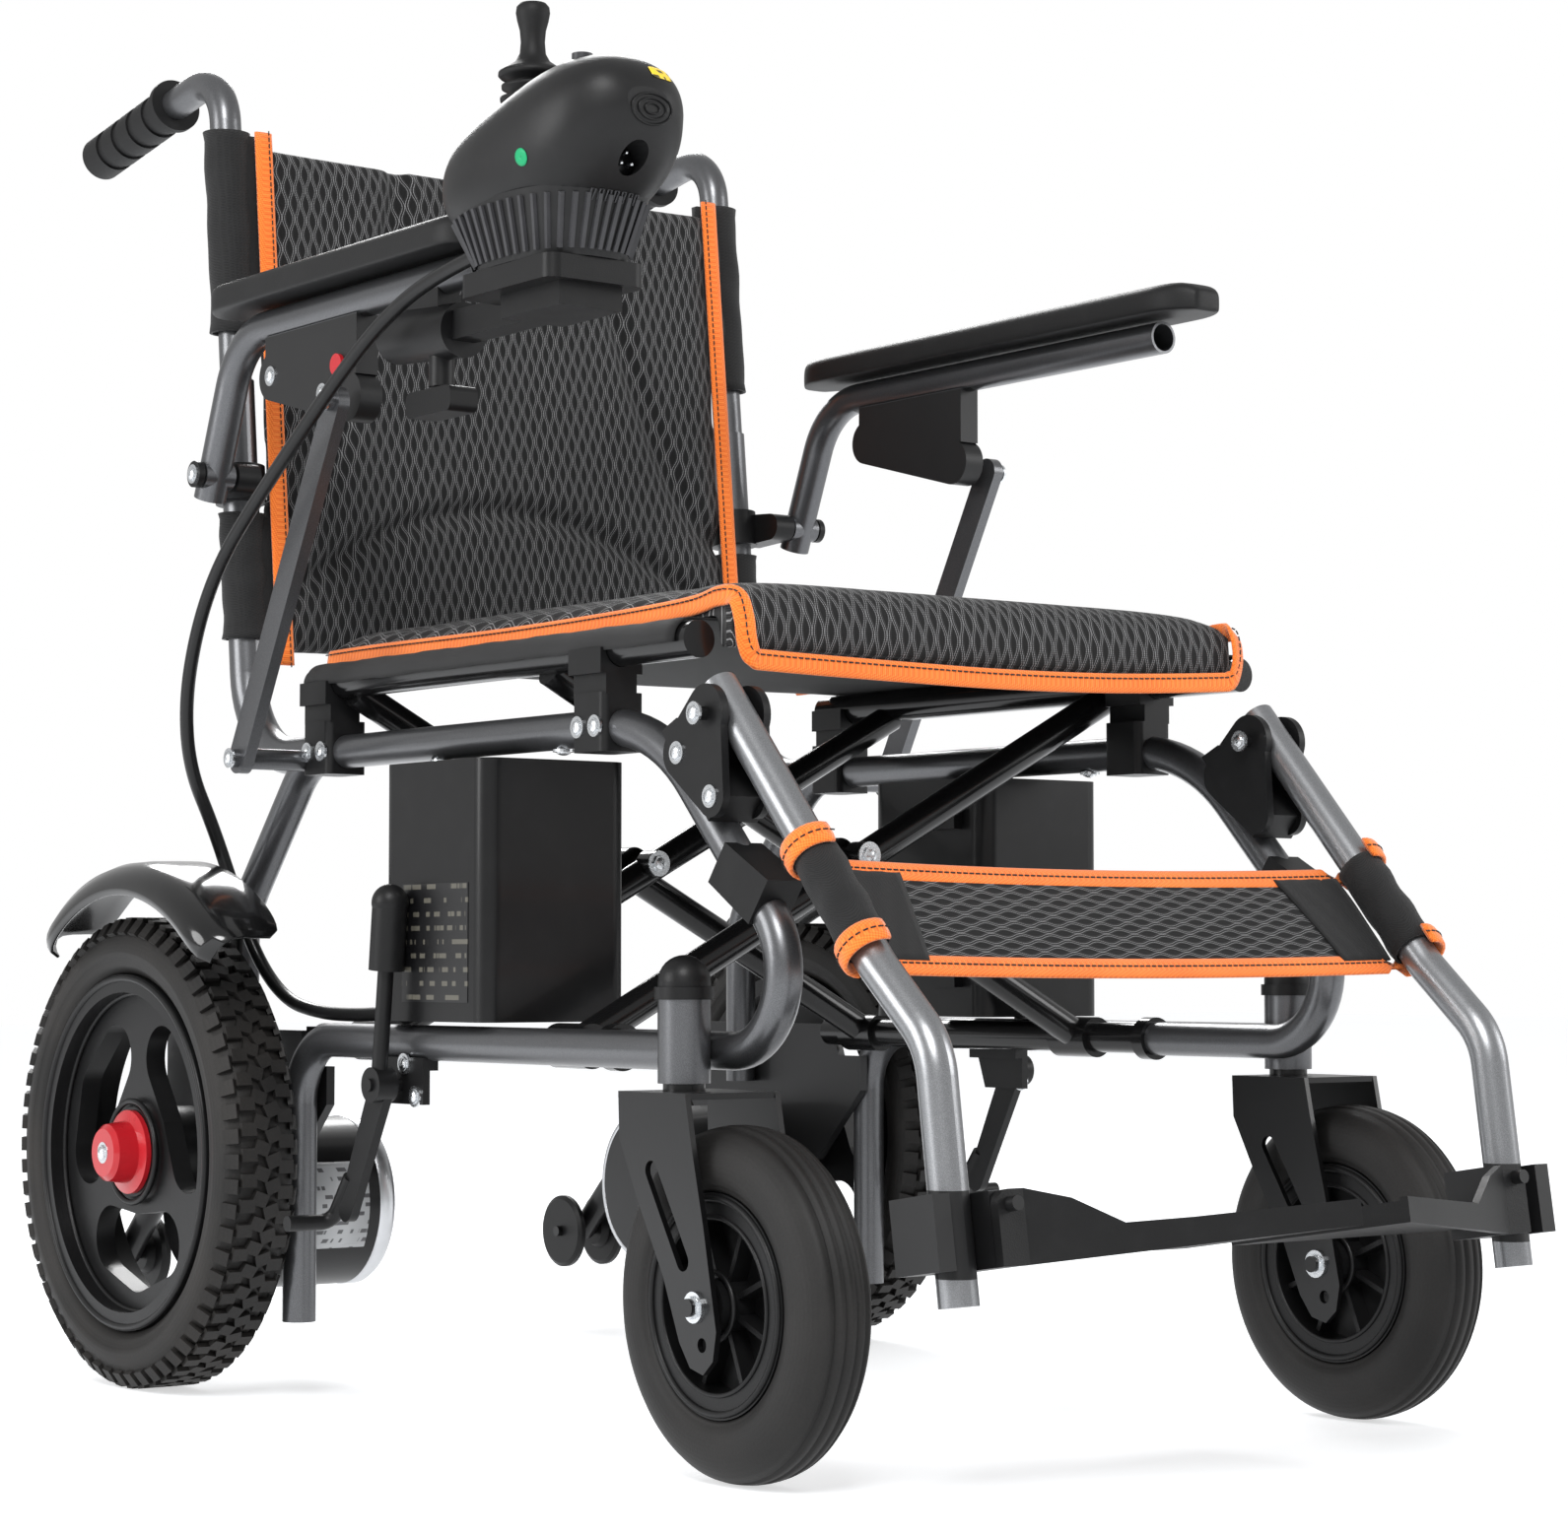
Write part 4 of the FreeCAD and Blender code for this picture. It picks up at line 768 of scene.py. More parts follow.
def spline(points: Sequence[Vector], count: int, looped: bool = False) -> list[Vector]:
    """Smooth points through a few given ones.

    Args:
        points: points that the line passes through.
        count: how many points come back.
        looped: the line closes on itself.

    Returns:
        Points evenly spread by number along the line.
    """
    n = len(points)
    spans = n if looped else n - 1
    result = []
    for k in range(count):
        s = spans * k / (count if looped else count - 1)
        i = min(int(s), spans - 1)
        t = s - i

        def pick(j: int) -> Vector:
            """A point of the line, held at the ends."""
            return points[j % n] if looped else points[max(0, min(n - 1, j))]

        a, b, c, d = pick(i - 1), pick(i), pick(i + 1), pick(i + 2)
        result.append(0.5 * ((2 * b) + (c - a) * t + (2 * a - 5 * b + 4 * c - d) * t ** 2
                             + (3 * b - a - 3 * c + d) * t ** 3))
    return result


def sweep(name: str, path: Sequence[Vector], ups: Sequence[Vector], width: float, thickness: float,
          finish: Finish, looped: bool = False, power: float = 4.0) -> bpy.types.Object:
    """A flat rounded band along a path.

    Args:
        name: the piece's name.
        path: the band's middle line.
        ups: the direction of its thickness at each point.
        width: across the band.
        thickness: through the band.
        finish: its finish.
        looped: the path closes on itself.
        power: 2 for an oval section, more for a squarer one.

    Returns:
        The band, with a UV map along and across it in metres.
    """
    rings, count, n = [], 12, len(path)
    for k, (p, up) in enumerate(zip(path, ups)):
        before = path[k - 1] if k or looped else p
        after = path[(k + 1) % n] if k < n - 1 or looped else p
        along = (after - before).normalized()
        across = along.cross(up).normalized()
        lift = across.cross(along)
        ring = []
        for m in range(count):
            t = 2 * math.pi * (m + 0.5) / count
            c, s = math.cos(t), math.sin(t)
            a = squared(c, 2 / power) * width / 2
            b = squared(s, 2 / power) * thickness / 2
            ring.append(p + across * a + lift * b)
        rings.append(ring)
    obj = loft(name, rings, finish, Cap.FAN, True, looped)
    walk = [0.0]
    for k in range(1, n):
        walk.append(walk[-1] + (path[k] - path[k - 1]).length)

    def place(p: Vector) -> tuple[float, float]:
        """Distance along and across the band for a point."""
        k = min(range(n), key=lambda i: (path[i] - p).length_squared)
        return walk[k], (p - path[k]).length

    if n < 400:
        along_of = [place(vertex.co) for vertex in obj.data.vertices]
        layer = obj.data.uv_layers.new(name="cloth")
        for loop in obj.data.loops:
            layer.data[loop.index].uv = along_of[loop.vertex_index]
    return obj


def lay_cloth(obj: bpy.types.Object, where: Callable[[Vector], tuple[float, float]]) -> None:
    """Give a piece its cloth UV map, in metres, from a function of position.

    Args:
        obj: the piece.
        where: gives the two distances of a point.
    """
    layer = obj.data.uv_layers.get("cloth") or obj.data.uv_layers.new(name="cloth")
    spots = [where(vertex.co) for vertex in obj.data.vertices]
    for loop in obj.data.loops:
        layer.data[loop.index].uv = spots[loop.vertex_index]


def refine(obj: bpy.types.Object, kind: str, **settings: float | int | bool | str) -> None:
    """Add one modifier and apply it to the mesh.

    Args:
        obj: the piece.
        kind: the modifier's type.
        settings: its properties.
    """
    modifier = obj.modifiers.new(kind.title(), kind)
    for key, value in settings.items():
        setattr(modifier, key, value)
    old = obj.data
    obj.data = evaluated_mesh(obj)
    obj.modifiers.clear()
    if not old.users:
        bpy.data.meshes.remove(old)


def dress(obj: bpy.types.Object, body: str, slot: str, *stands_for: str) -> bpy.types.Object:
    """Make a piece ride on a body and hide what it stands for.

    Args:
        obj: the piece.
        body: the body it moves with.
        slot: the record's material slot; not used.
        stands_for: CAD nodes that it replaces.

    Returns:
        The piece.
    """
    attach(obj, body)
    if stands_for:
        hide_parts(*stands_for)
    LOG.info("%s on %s: %d faces", obj.name, body, len(obj.data.polygons))
    return obj


def merge(name: str, parts: Sequence[bpy.types.Object]) -> bpy.types.Object:
    """One object from several, keeping their materials.

    Args:
        name: the name of the whole.
        parts: the objects to join; the first one is kept.

    Returns:
        The joined object.
    """
    bpy.ops.object.select_all(action="DESELECT")
    for part in parts:
        part.select_set(True)
    bpy.context.view_layer.objects.active = parts[0]
    bpy.ops.object.join()
    parts[0].name = name
    return parts[0]


def soften(obj: bpy.types.Object, voxel: float, pressure: float, cap: float) -> None:
    """Remesh a pad, blow it up gently as cloth, cap its travel and apply the result.

    Args:
        obj: the pad's plain form.
        voxel: remesh size in metres.
        pressure: the cloth's inner pressure.
        cap: how far a point may move, in metres.
    """
    refine(obj, "REMESH", mode="VOXEL", voxel_size=voxel, use_smooth_shade=True)
    before = [vertex.co.copy() for vertex in obj.data.vertices]
    scene = bpy.context.scene
    modifier = obj.modifiers.new("Cloth", "CLOTH")
    cloth = modifier.settings
    cloth.quality = 4
    cloth.use_pressure = True
    cloth.uniform_pressure_force = pressure
    cloth.effector_weights.gravity = 0
    modifier.point_cache.frame_start = 1
    modifier.point_cache.frame_end = CLOTH_TICKS
    for tick in range(1, CLOTH_TICKS + 1):
        scene.frame_set(tick)
    shaped = evaluated_mesh(obj)
    obj.modifiers.clear()
    for vertex, start, end in zip(obj.data.vertices, before, shaped.vertices):
        move = end.co - start
        vertex.co = start + (move if move.length <= cap else move * (cap / move.length))
    scene.frame_set(1)


# ---------------------------------------------------------------- geometry nodes


class GeoTree:
    """A Geometry Nodes tree with named inputs, ending in Realize Instances and Set Material."""

    def __init__(self, name: str, **inputs: float | int) -> None:
        """Make the tree and its inputs, whose defaults are given.

        Args:
            name: the tree's name.
            inputs: the inputs by name, with their defaults.
        """
        self.tree = bpy.data.node_groups.new(name, "GeometryNodeTree")
        face = self.tree.interface
        face.new_socket("Geometry", in_out="INPUT", socket_type="NodeSocketGeometry")
        self.ids: dict[str, str] = {}
        for key, value in inputs.items():
            kind = "NodeSocketInt" if isinstance(value, int) else "NodeSocketFloat"
            socket = face.new_socket(key, in_out="INPUT", socket_type=kind)
            socket.default_value = value
            self.ids[key] = socket.identifier
        face.new_socket("Geometry", in_out="OUTPUT", socket_type="NodeSocketGeometry")
        self.source = self.tree.nodes.new("NodeGroupInput")
        self.sink = self.tree.nodes.new("NodeGroupOutput")

    def input(self, name: str) -> bpy.types.NodeSocket:
        """One of the tree's inputs."""
        return self.source.outputs[name]

    def node(self, kind: str, settings: dict | None = None, values: dict | None = None,
             out: int | str = 0) -> bpy.types.NodeSocket:
        """Add a node; its sockets take numbers or other sockets.

        Args:
            kind: the node's type.
            settings: its properties.
            values: inputs by name or index; a list links several into one.
            out: which output comes back.

        Returns:
            That output.
        """
        made = self.tree.nodes.new(kind)
        for key, value in (settings or {}).items():
            setattr(made, key, value)
        for key, value in (values or {}).items():
            links = value if isinstance(value, list) else [value]
            for one in links:
                if isinstance(one, bpy.types.NodeSocket):
                    self.tree.links.new(one, made.inputs[key])
                else:
                    made.inputs[key].default_value = one
        return made.outputs[out]

    def end(self, geometry: bpy.types.NodeSocket, finish: Finish) -> None:
        """Close the tree.

        Args:
            geometry: what the tree has made.
            finish: the finish of all of it.
        """
        real = self.node("GeometryNodeRealizeInstances", None, {0: geometry})
        dressed = self.node("GeometryNodeSetMaterial", None,
                            {0: real, "Material": finish.material()})
        self.tree.links.new(dressed, self.sink.inputs[0])

    def bake(self, name: str, seed: bpy.types.Object, **inputs: float | int) -> bpy.types.Object:
        """Run the tree on an object and keep the plain mesh.

        Args:
            name: the new piece's name.
            seed: the object that the tree starts from; it is removed.
            inputs: values of the named inputs.

        Returns:
            The new mesh object.
        """
        modifier = seed.modifiers.new("Nodes", "NODES")
        modifier.node_group = self.tree
        for key, value in inputs.items():
            modifier[self.ids[key]] = value
        mesh = evaluated_mesh(seed)
        bpy.data.objects.remove(seed)
        mesh.name = name
        return link_new(name, mesh)


def bolt_tree() -> GeoTree:
    """Domed screw heads on flanged washers, one on each point, along its axis attribute.

    Returns:
        The tree.
    """
    geo = GeoTree("screw_heads", head=0.0048, rise=0.0032, washer=0.0068, sheet=0.0014)
    dome = geo.node("GeometryNodeMeshUVSphere", None,
                    {"Segments": 14, "Rings": 8, "Radius": geo.input("head")})
    flat = geo.node("ShaderNodeCombineXYZ", None, {0: 1.0, 1: 1.0, 2: 0.62})
    dome = geo.node("GeometryNodeTransform", None, {0: dome, "Scale": flat})
    disc = geo.node("GeometryNodeMeshCylinder", None,
                    {"Vertices": 20, "Radius": geo.input("washer"), "Depth": geo.input("sheet")})
    hexagon = geo.node("GeometryNodeMeshCylinder", None,
                       {"Vertices": 6, "Radius": geo.input("head"), "Depth": geo.input("rise")})
    head = geo.node("GeometryNodeJoinGeometry", None, {0: [dome, disc, hexagon]})
    axis = geo.node("GeometryNodeInputNamedAttribute", {"data_type": "FLOAT_VECTOR"},
                    {"Name": "axis"})
    turn = geo.node("FunctionNodeAlignRotationToVector", {"axis": "Z"}, {"Vector": axis})
    spread = geo.node("GeometryNodeInstanceOnPoints", None,
                      {"Points": geo.input("Geometry"), "Instance": head, "Rotation": turn})
    geo.end(spread, ZINC)
    return geo


def stitch_tree(finish: Finish, name: str) -> GeoTree:
    """Short thread stitches along a curve.

    Args:
        finish: the thread's finish.
        name: the tree's name.

    Returns:
        The tree.
    """
    geo = GeoTree(name, spacing=0.0042, length=0.0028, thread=0.00045)
    dots = geo.tree.nodes.new("GeometryNodeCurveToPoints")
    dots.mode = "LENGTH"
    geo.tree.links.new(geo.input("Geometry"), dots.inputs[0])
    geo.tree.links.new(geo.input("spacing"), dots.inputs["Length"])
    bead = geo.node("GeometryNodeMeshCylinder", None,
                    {"Vertices": 6, "Radius": geo.input("thread"), "Depth": geo.input("length")})
    spread = geo.node("GeometryNodeInstanceOnPoints", None,
                      {"Points": dots.outputs[0], "Instance": bead,
                       "Rotation": dots.outputs["Rotation"]})
    geo.end(spread, finish)
    return geo


def tread_tree(finish: Finish) -> GeoTree:
    """Rows of tread blocks round a wheel whose axis is Z.

    Args:
        finish: the rubber's finish.

    Returns:
        The tree.
    """
    geo = GeoTree("tread_blocks", radius=TREAD_RADIUS, count=64, depth=0.0042, width=0.011,
                  reach=0.0215, tilt=0.5)
    rows = []
    for place, size, phase, lean in ((0.2, 0.62, 0.0, 0.35), (-0.2, 0.62, 0.5, -0.35),
                                     (0.62, 0.6, 0.25, 0.0), (-0.62, 0.6, 0.75, 0.0),
                                     (1.06, 0.52, 0.5, 0.0), (-1.06, 0.52, 0.0, 0.0)):
        shoulder = abs(place) > 1
        pitch = geo.node("ShaderNodeMath", {"operation": "DIVIDE"},
                         {0: 2 * math.pi * TREAD_RADIUS * size * (0.86 if not shoulder else 1.1),
                          1: geo.input("count")})
        block_size = geo.node("ShaderNodeCombineXYZ", None,
                              {0: geo.input("depth"), 1: pitch, 2: geo.input("width")})
        block = geo.node("GeometryNodeMeshCube", None, {"Size": block_size})
        across = geo.node("ShaderNodeMath", {"operation": "MULTIPLY"},
                          {0: geo.input("reach"), 1: place})
        drop = 0.0052 if shoulder else 0.0
        shift = geo.node("ShaderNodeCombineXYZ", None, {0: -drop, 2: across})
        sway = geo.node("ShaderNodeMath", {"operation": "MULTIPLY"},
                        {0: geo.input("tilt"),
                         1: (-1.9 if place > 0 else 1.9) if shoulder else 0.0})
        twist = geo.node("ShaderNodeCombineXYZ", None, {0: lean, 1: sway})
        block = geo.node("GeometryNodeTransform", None,
                         {0: block, "Translation": shift, "Rotation": twist})
        hoop = geo.node("GeometryNodeMeshCircle", None,
                        {"Vertices": geo.input("count"), "Radius": geo.input("radius")})
        spin = geo.node("ShaderNodeMath", {"operation": "DIVIDE"},
                        {0: 2 * math.pi * phase, 1: geo.input("count")})
        about = geo.node("ShaderNodeCombineXYZ", None, {2: spin})
        turned = geo.node("GeometryNodeTransform", None, {0: hoop, "Rotation": about})
        spot = geo.node("GeometryNodeInputPosition")
        face = geo.node("FunctionNodeAlignRotationToVector", {"axis": "X", "pivot_axis": "Z"},
                        {"Vector": spot})
        rows.append(geo.node("GeometryNodeInstanceOnPoints", None,
                             {"Points": turned, "Instance": block, "Rotation": face}))
    geo.end(geo.node("GeometryNodeJoinGeometry", None, {0: rows}), finish)
    return geo


def bar_tree(finish: Finish, name: str) -> GeoTree:
    """Small bars, one on each point, turned so that Z follows the axis attribute.

    Args:
        finish: the bars' finish.
        name: the tree's name.

    Returns:
        The tree.
    """
    geo = GeoTree(name, wide=0.001, deep=0.002, tall=0.04)
    size = geo.node("ShaderNodeCombineXYZ", None,
                    {0: geo.input("wide"), 1: geo.input("deep"), 2: geo.input("tall")})
    bar = geo.node("GeometryNodeMeshCube", None, {"Size": size})
    axis = geo.node("GeometryNodeInputNamedAttribute", {"data_type": "FLOAT_VECTOR"},
                    {"Name": "axis"})
    turn = geo.node("FunctionNodeAlignRotationToVector", {"axis": "Z"}, {"Vector": axis})
    spread = geo.node("GeometryNodeInstanceOnPoints", None,
                      {"Points": geo.input("Geometry"), "Instance": bar, "Rotation": turn})
    geo.end(spread, finish)
    return geo


def points_with_axis(spots: Sequence[tuple[Vector, Vector]]) -> bpy.types.Object:
    """Loose points with an axis attribute, as a tree's starting object.

    Args:
        spots: pairs of a place and a direction.

    Returns:
        The starting object.
    """
    mesh = bpy.data.meshes.new("seed")
    mesh.from_pydata([tuple(p) for p, _ in spots], [], [])
    layer = mesh.attributes.new("axis", "FLOAT_VECTOR", "POINT")
    for k, (_, way) in enumerate(spots):
        layer.data[k].vector = way.normalized()
    return link_new("seed", mesh)


def curve_from(points: Sequence[Vector], looped: bool = False) -> bpy.types.Object:
    """A poly curve, as a tree's starting object.

    Args:
        points: the curve's points.
        looped: the curve closes on itself.

    Returns:
        The starting object.
    """
    data = bpy.data.curves.new("seed", "CURVE")
    data.dimensions = "3D"
    line = data.splines.new("POLY")
    line.points.add(len(points) - 1)
    for slot, p in zip(line.points, points):
        slot.co = (*p, 1.0)
    line.use_cyclic_u = looped
    return link_new("seed", data)


STITCHES = stitch_tree(STITCH, "black_stitches")
BOLTS = bolt_tree()


def stitch_line(name: str, points: Sequence[Vector], looped: bool = False) -> bpy.types.Object:
    """A line of stitches as a mesh with a cloth UV map.

    Args:
        name: the piece's name.
        points: the seam.
        looped: the seam closes on itself.

    Returns:
        The line of stitches.
    """
    obj = STITCHES.bake(name, curve_from(points, looped), spacing=0.0046, length=0.003,
                        thread=0.0005)
    lay_cloth(obj, lambda p: (p.x, p.z))
    return obj


# ---------------------------------------------------------------- the chair


@dataclass
class DriveWheel:
    """Rear wheel: block-tread tyre and three-spoke rim."""

    side: Side
    y: float = WHEEL_Y
    z: float = WHEEL_Z
    x: float = 280.0
    radius: float = TREAD_RADIUS
    half_width: float = 0.0272
    bead: float = 0.119

    def centre(self) -> Vector:
        """The wheel's centre."""
        return at(self.side.value * self.x, self.y, self.z)

    def tyre(self) -> None:
        """Carcass turned from its section, with tread blocks from Geometry Nodes."""
        hub = self.centre()
        rubber = TyreRubber("drive_rubber", hub.y, hub.z)
        r, w = self.radius, self.half_width
        half = [(0.0, r - 0.0042), (0.010, r - 0.0045), (0.018, r - 0.0062), (0.0235, r - 0.0112),
                (0.0262, r - 0.018), (w, r - 0.0235), (w - 0.0006, r - 0.027), (0.0258, r - 0.0275),
                (0.0255, r - 0.0325),
                (0.0245, r - 0.0335), (0.0215, self.bead + 0.0015), (0.0185, self.bead)]
        carcass = lathe(f"drive_carcass_{self.side.word}", both_halves(half), hub, ALONG_X, rubber,
                        128)
        seed = points_with_axis([(Vector(), ALONG_Z)])
        blocks = tread_tree(rubber).bake("tread", seed, radius=r - 0.0023, count=60, depth=0.0034,
                                         width=0.0105, reach=0.0212, tilt=0.5)
        blocks.data.transform(Matrix.Translation(hub) @ Matrix.Rotation(math.pi / 2, 4, "Y"))
        tyre = merge(f"drive_tyre_tread_{self.side.word}", [carcass, blocks])
        dress(tyre, f"{self.side.word}_drive_wheel", "tyre_rubber", f"drive_tyre_{self.side.word}")

    def rim_beads(self) -> None:
        """Rolled lip round the rim, a step on the face and rings round the hub."""
        s, hub = self.side.value, self.centre()
        parts = []
        for k, (x, r, t) in enumerate(((0.0235, 0.1165, 0.0024), (0.0135, 0.1065, 0.0018),
                                       (0.0165, 0.034, 0.002))):
            parts.append(lathe(f"bead_{k}", round_section(s * x, r, t, 10), hub, ALONG_X,
                               RIM_PLASTIC))
        dress(merge(f"rim_beads_{self.side.word}", parts), f"{self.side.word}_drive_wheel",
              "black_plastic")

    def knob_screw(self) -> None:
        """Silver screw in the middle of the clutch knob."""
        face = self.centre() + Vector((self.side.value * 0.0378, 0, 0))
        seed = points_with_axis([(face, Vector((self.side.value, 0, 0)))])
        screw = BOLTS.bake(f"knob_screw_{self.side.word}", seed, head=0.0052, rise=0.0034,
                           washer=0.0072, sheet=0.001)
        dress(screw, f"{self.side.word}_clutch_knob", "red_plastic")

    def build(self) -> None:
        """All of the wheel."""
        self.tyre()
        self.rim_beads()
        self.knob_screw()


@dataclass
class Caster:
    """Front caster: ribbed solid tyre and the rim's raised edge."""

    side: Side
    x: float = 238.0
    y: float = -56.0
    z: float = 98.0
    radius: float = 0.098
    half_width: float = 0.0228

    def build(self) -> None:
        """Tyre with four grooves and mould lines; bead ring round the dish; axle nuts."""
        hub = at(self.side.value * self.x, self.y, self.z)
        r, w = self.radius, self.half_width
        half = [(0.0, r - 0.0003), (0.0022, r - 0.0003), (0.003, r - 0.0026), (0.0042, r - 0.0026),
                (0.005, r - 0.0006),
                (0.0085, r - 0.0012), (0.0095, r - 0.0036), (0.0107, r - 0.0038),
                (0.0117, r - 0.0022),
                (0.0155, r - 0.0052), (0.0190, r - 0.0095), (0.0214, r - 0.0148), (w, r - 0.0215),
                (w, r - 0.027),
                (0.0218, r - 0.0315), (0.0206, r - 0.0325), (0.0202, r - 0.0345), (0.0190, 0.0622),
                (0.017, 0.0615)]
        rubber = TyreRubber("caster_rubber", hub.y, hub.z, (0.006, 0.0057, 0.0055),
                            (0.019, 0.0175, 0.0165))
        tyre = lathe(f"caster_tyre_ribbed_{self.side.word}", both_halves(half), hub, ALONG_X,
                     rubber, 112)
        dress(tyre, f"{self.side.word}_caster_wheel", "tyre_rubber",
              f"caster_tyre_{self.side.word}")
        beads = []
        for x in (-0.0202, 0.0202):
            for r0, t in ((0.0585, 0.002), (0.0482, 0.0014), (0.0185, 0.0016)):
                beads.append(lathe("bead", round_section(x, r0, t, 8), hub, ALONG_X, RIM_PLASTIC,
                                   72))
        dress(merge(f"caster_beads_{self.side.word}", beads), f"{self.side.word}_caster_wheel",
              "black_plastic")
        spots = [(hub + Vector((way * 0.0335, 0, 0)), Vector((way, 0, 0))) for way in (-1, 1)]
        nuts = BOLTS.bake(f"caster_nuts_{self.side.word}", points_with_axis(spots), head=0.0062,
                          rise=0.006, washer=0.0086, sheet=0.002)
        dress(nuts, f"{self.side.word}_caster_fork", "black_paint")


@dataclass
class Mudguard:
    """Curved guard with a rolled outer lip, and the stay and post that carry it."""

    side: Side
    sweep_deg: tuple[float, float] = (46.0, 132.0)
    centre: tuple[float, float] = (537.0, 170.0)
    radius: float = 0.1808
    stay_y: float = 549.0
    across: tuple[float, float] = (0.2622, 0.3178)

    def build(self) -> None:
        """Shell lofted round the wheel, narrower at its rounded ends, on its bent stay."""
        s = self.side.value
        x_in, x_out = self.across
        hub = at(0, *self.centre)
        section = [(x_in, 0.0), (x_in + 0.012, 0.0), (x_in + 0.03, -0.0004),
                   (x_out - 0.014, -0.0016),
                   (x_out - 0.006, -0.0048), (x_out - 0.0012, -0.0105), (x_out, -0.016),
                   (x_out - 0.001, -0.0205)]
        rings, steps = [], 44
        for k in range(steps + 1):
            share = k / steps
            t = math.radians(self.sweep_deg[0] + (self.sweep_deg[1] - self.sweep_deg[0]) * share)
            ends = min(1.0, math.sqrt(max(0.0, 1 - (abs(share - 0.5) * 2) ** 14)) + 0.02)
            middle = (x_in + x_out) / 2
            ring = []
            for x, drop in section:
                xx = middle + (x - middle) * (0.62 + 0.38 * ends)
                rr = self.radius + drop
                ring.append(Vector((s * xx, hub.y - rr * math.cos(t), hub.z + rr * math.sin(t))))
            rings.append(ring)
        shell = loft(f"mudguard_shell_{self.side.word}", rings, GUARD, Cap.OPEN, False)
        refine(shell, "SOLIDIFY", thickness=0.0026, offset=-1.0 if s > 0 else 1.0)
        face_out(shell)
        refine(shell, "BEVEL", width=0.0008, segments=2)
        for polygon in shell.data.polygons:
            polygon.use_smooth = True
        dress(shell, f"{self.side.word}_frame", "guard_plastic")
        self.stay()

    def stay(self) -> None:
        """Flat bar from the frame, bent out under the guard."""
        s = self.side.value
        top = self.centre[1] + self.radius * 1000 - 9.8
        stops = [at(s * 223, self.stay_y, 282), at(s * 223, self.stay_y, top - 24),
                 at(s * 223.5, self.stay_y, top - 8),
                 at(s * 229, self.stay_y, top - 1), at(s * 240, self.stay_y, top),
                 at(s * 281, self.stay_y, top)]
        path = spline(stops, 36)
        ups = []
        for p in path:
            rise = min(1.0, max(0.0, (abs(p.x) - 0.2232) / 0.008))
            ups.append(Vector((s * (1 - rise), 0, rise)))
        bar = sweep(f"guard_stay_{self.side.word}", path, ups, 0.018, 0.0042, FORK_PAINT, power=6.0)
        dress(bar, f"{self.side.word}_frame", "black_paint", f"mudguard_{self.side.word}")


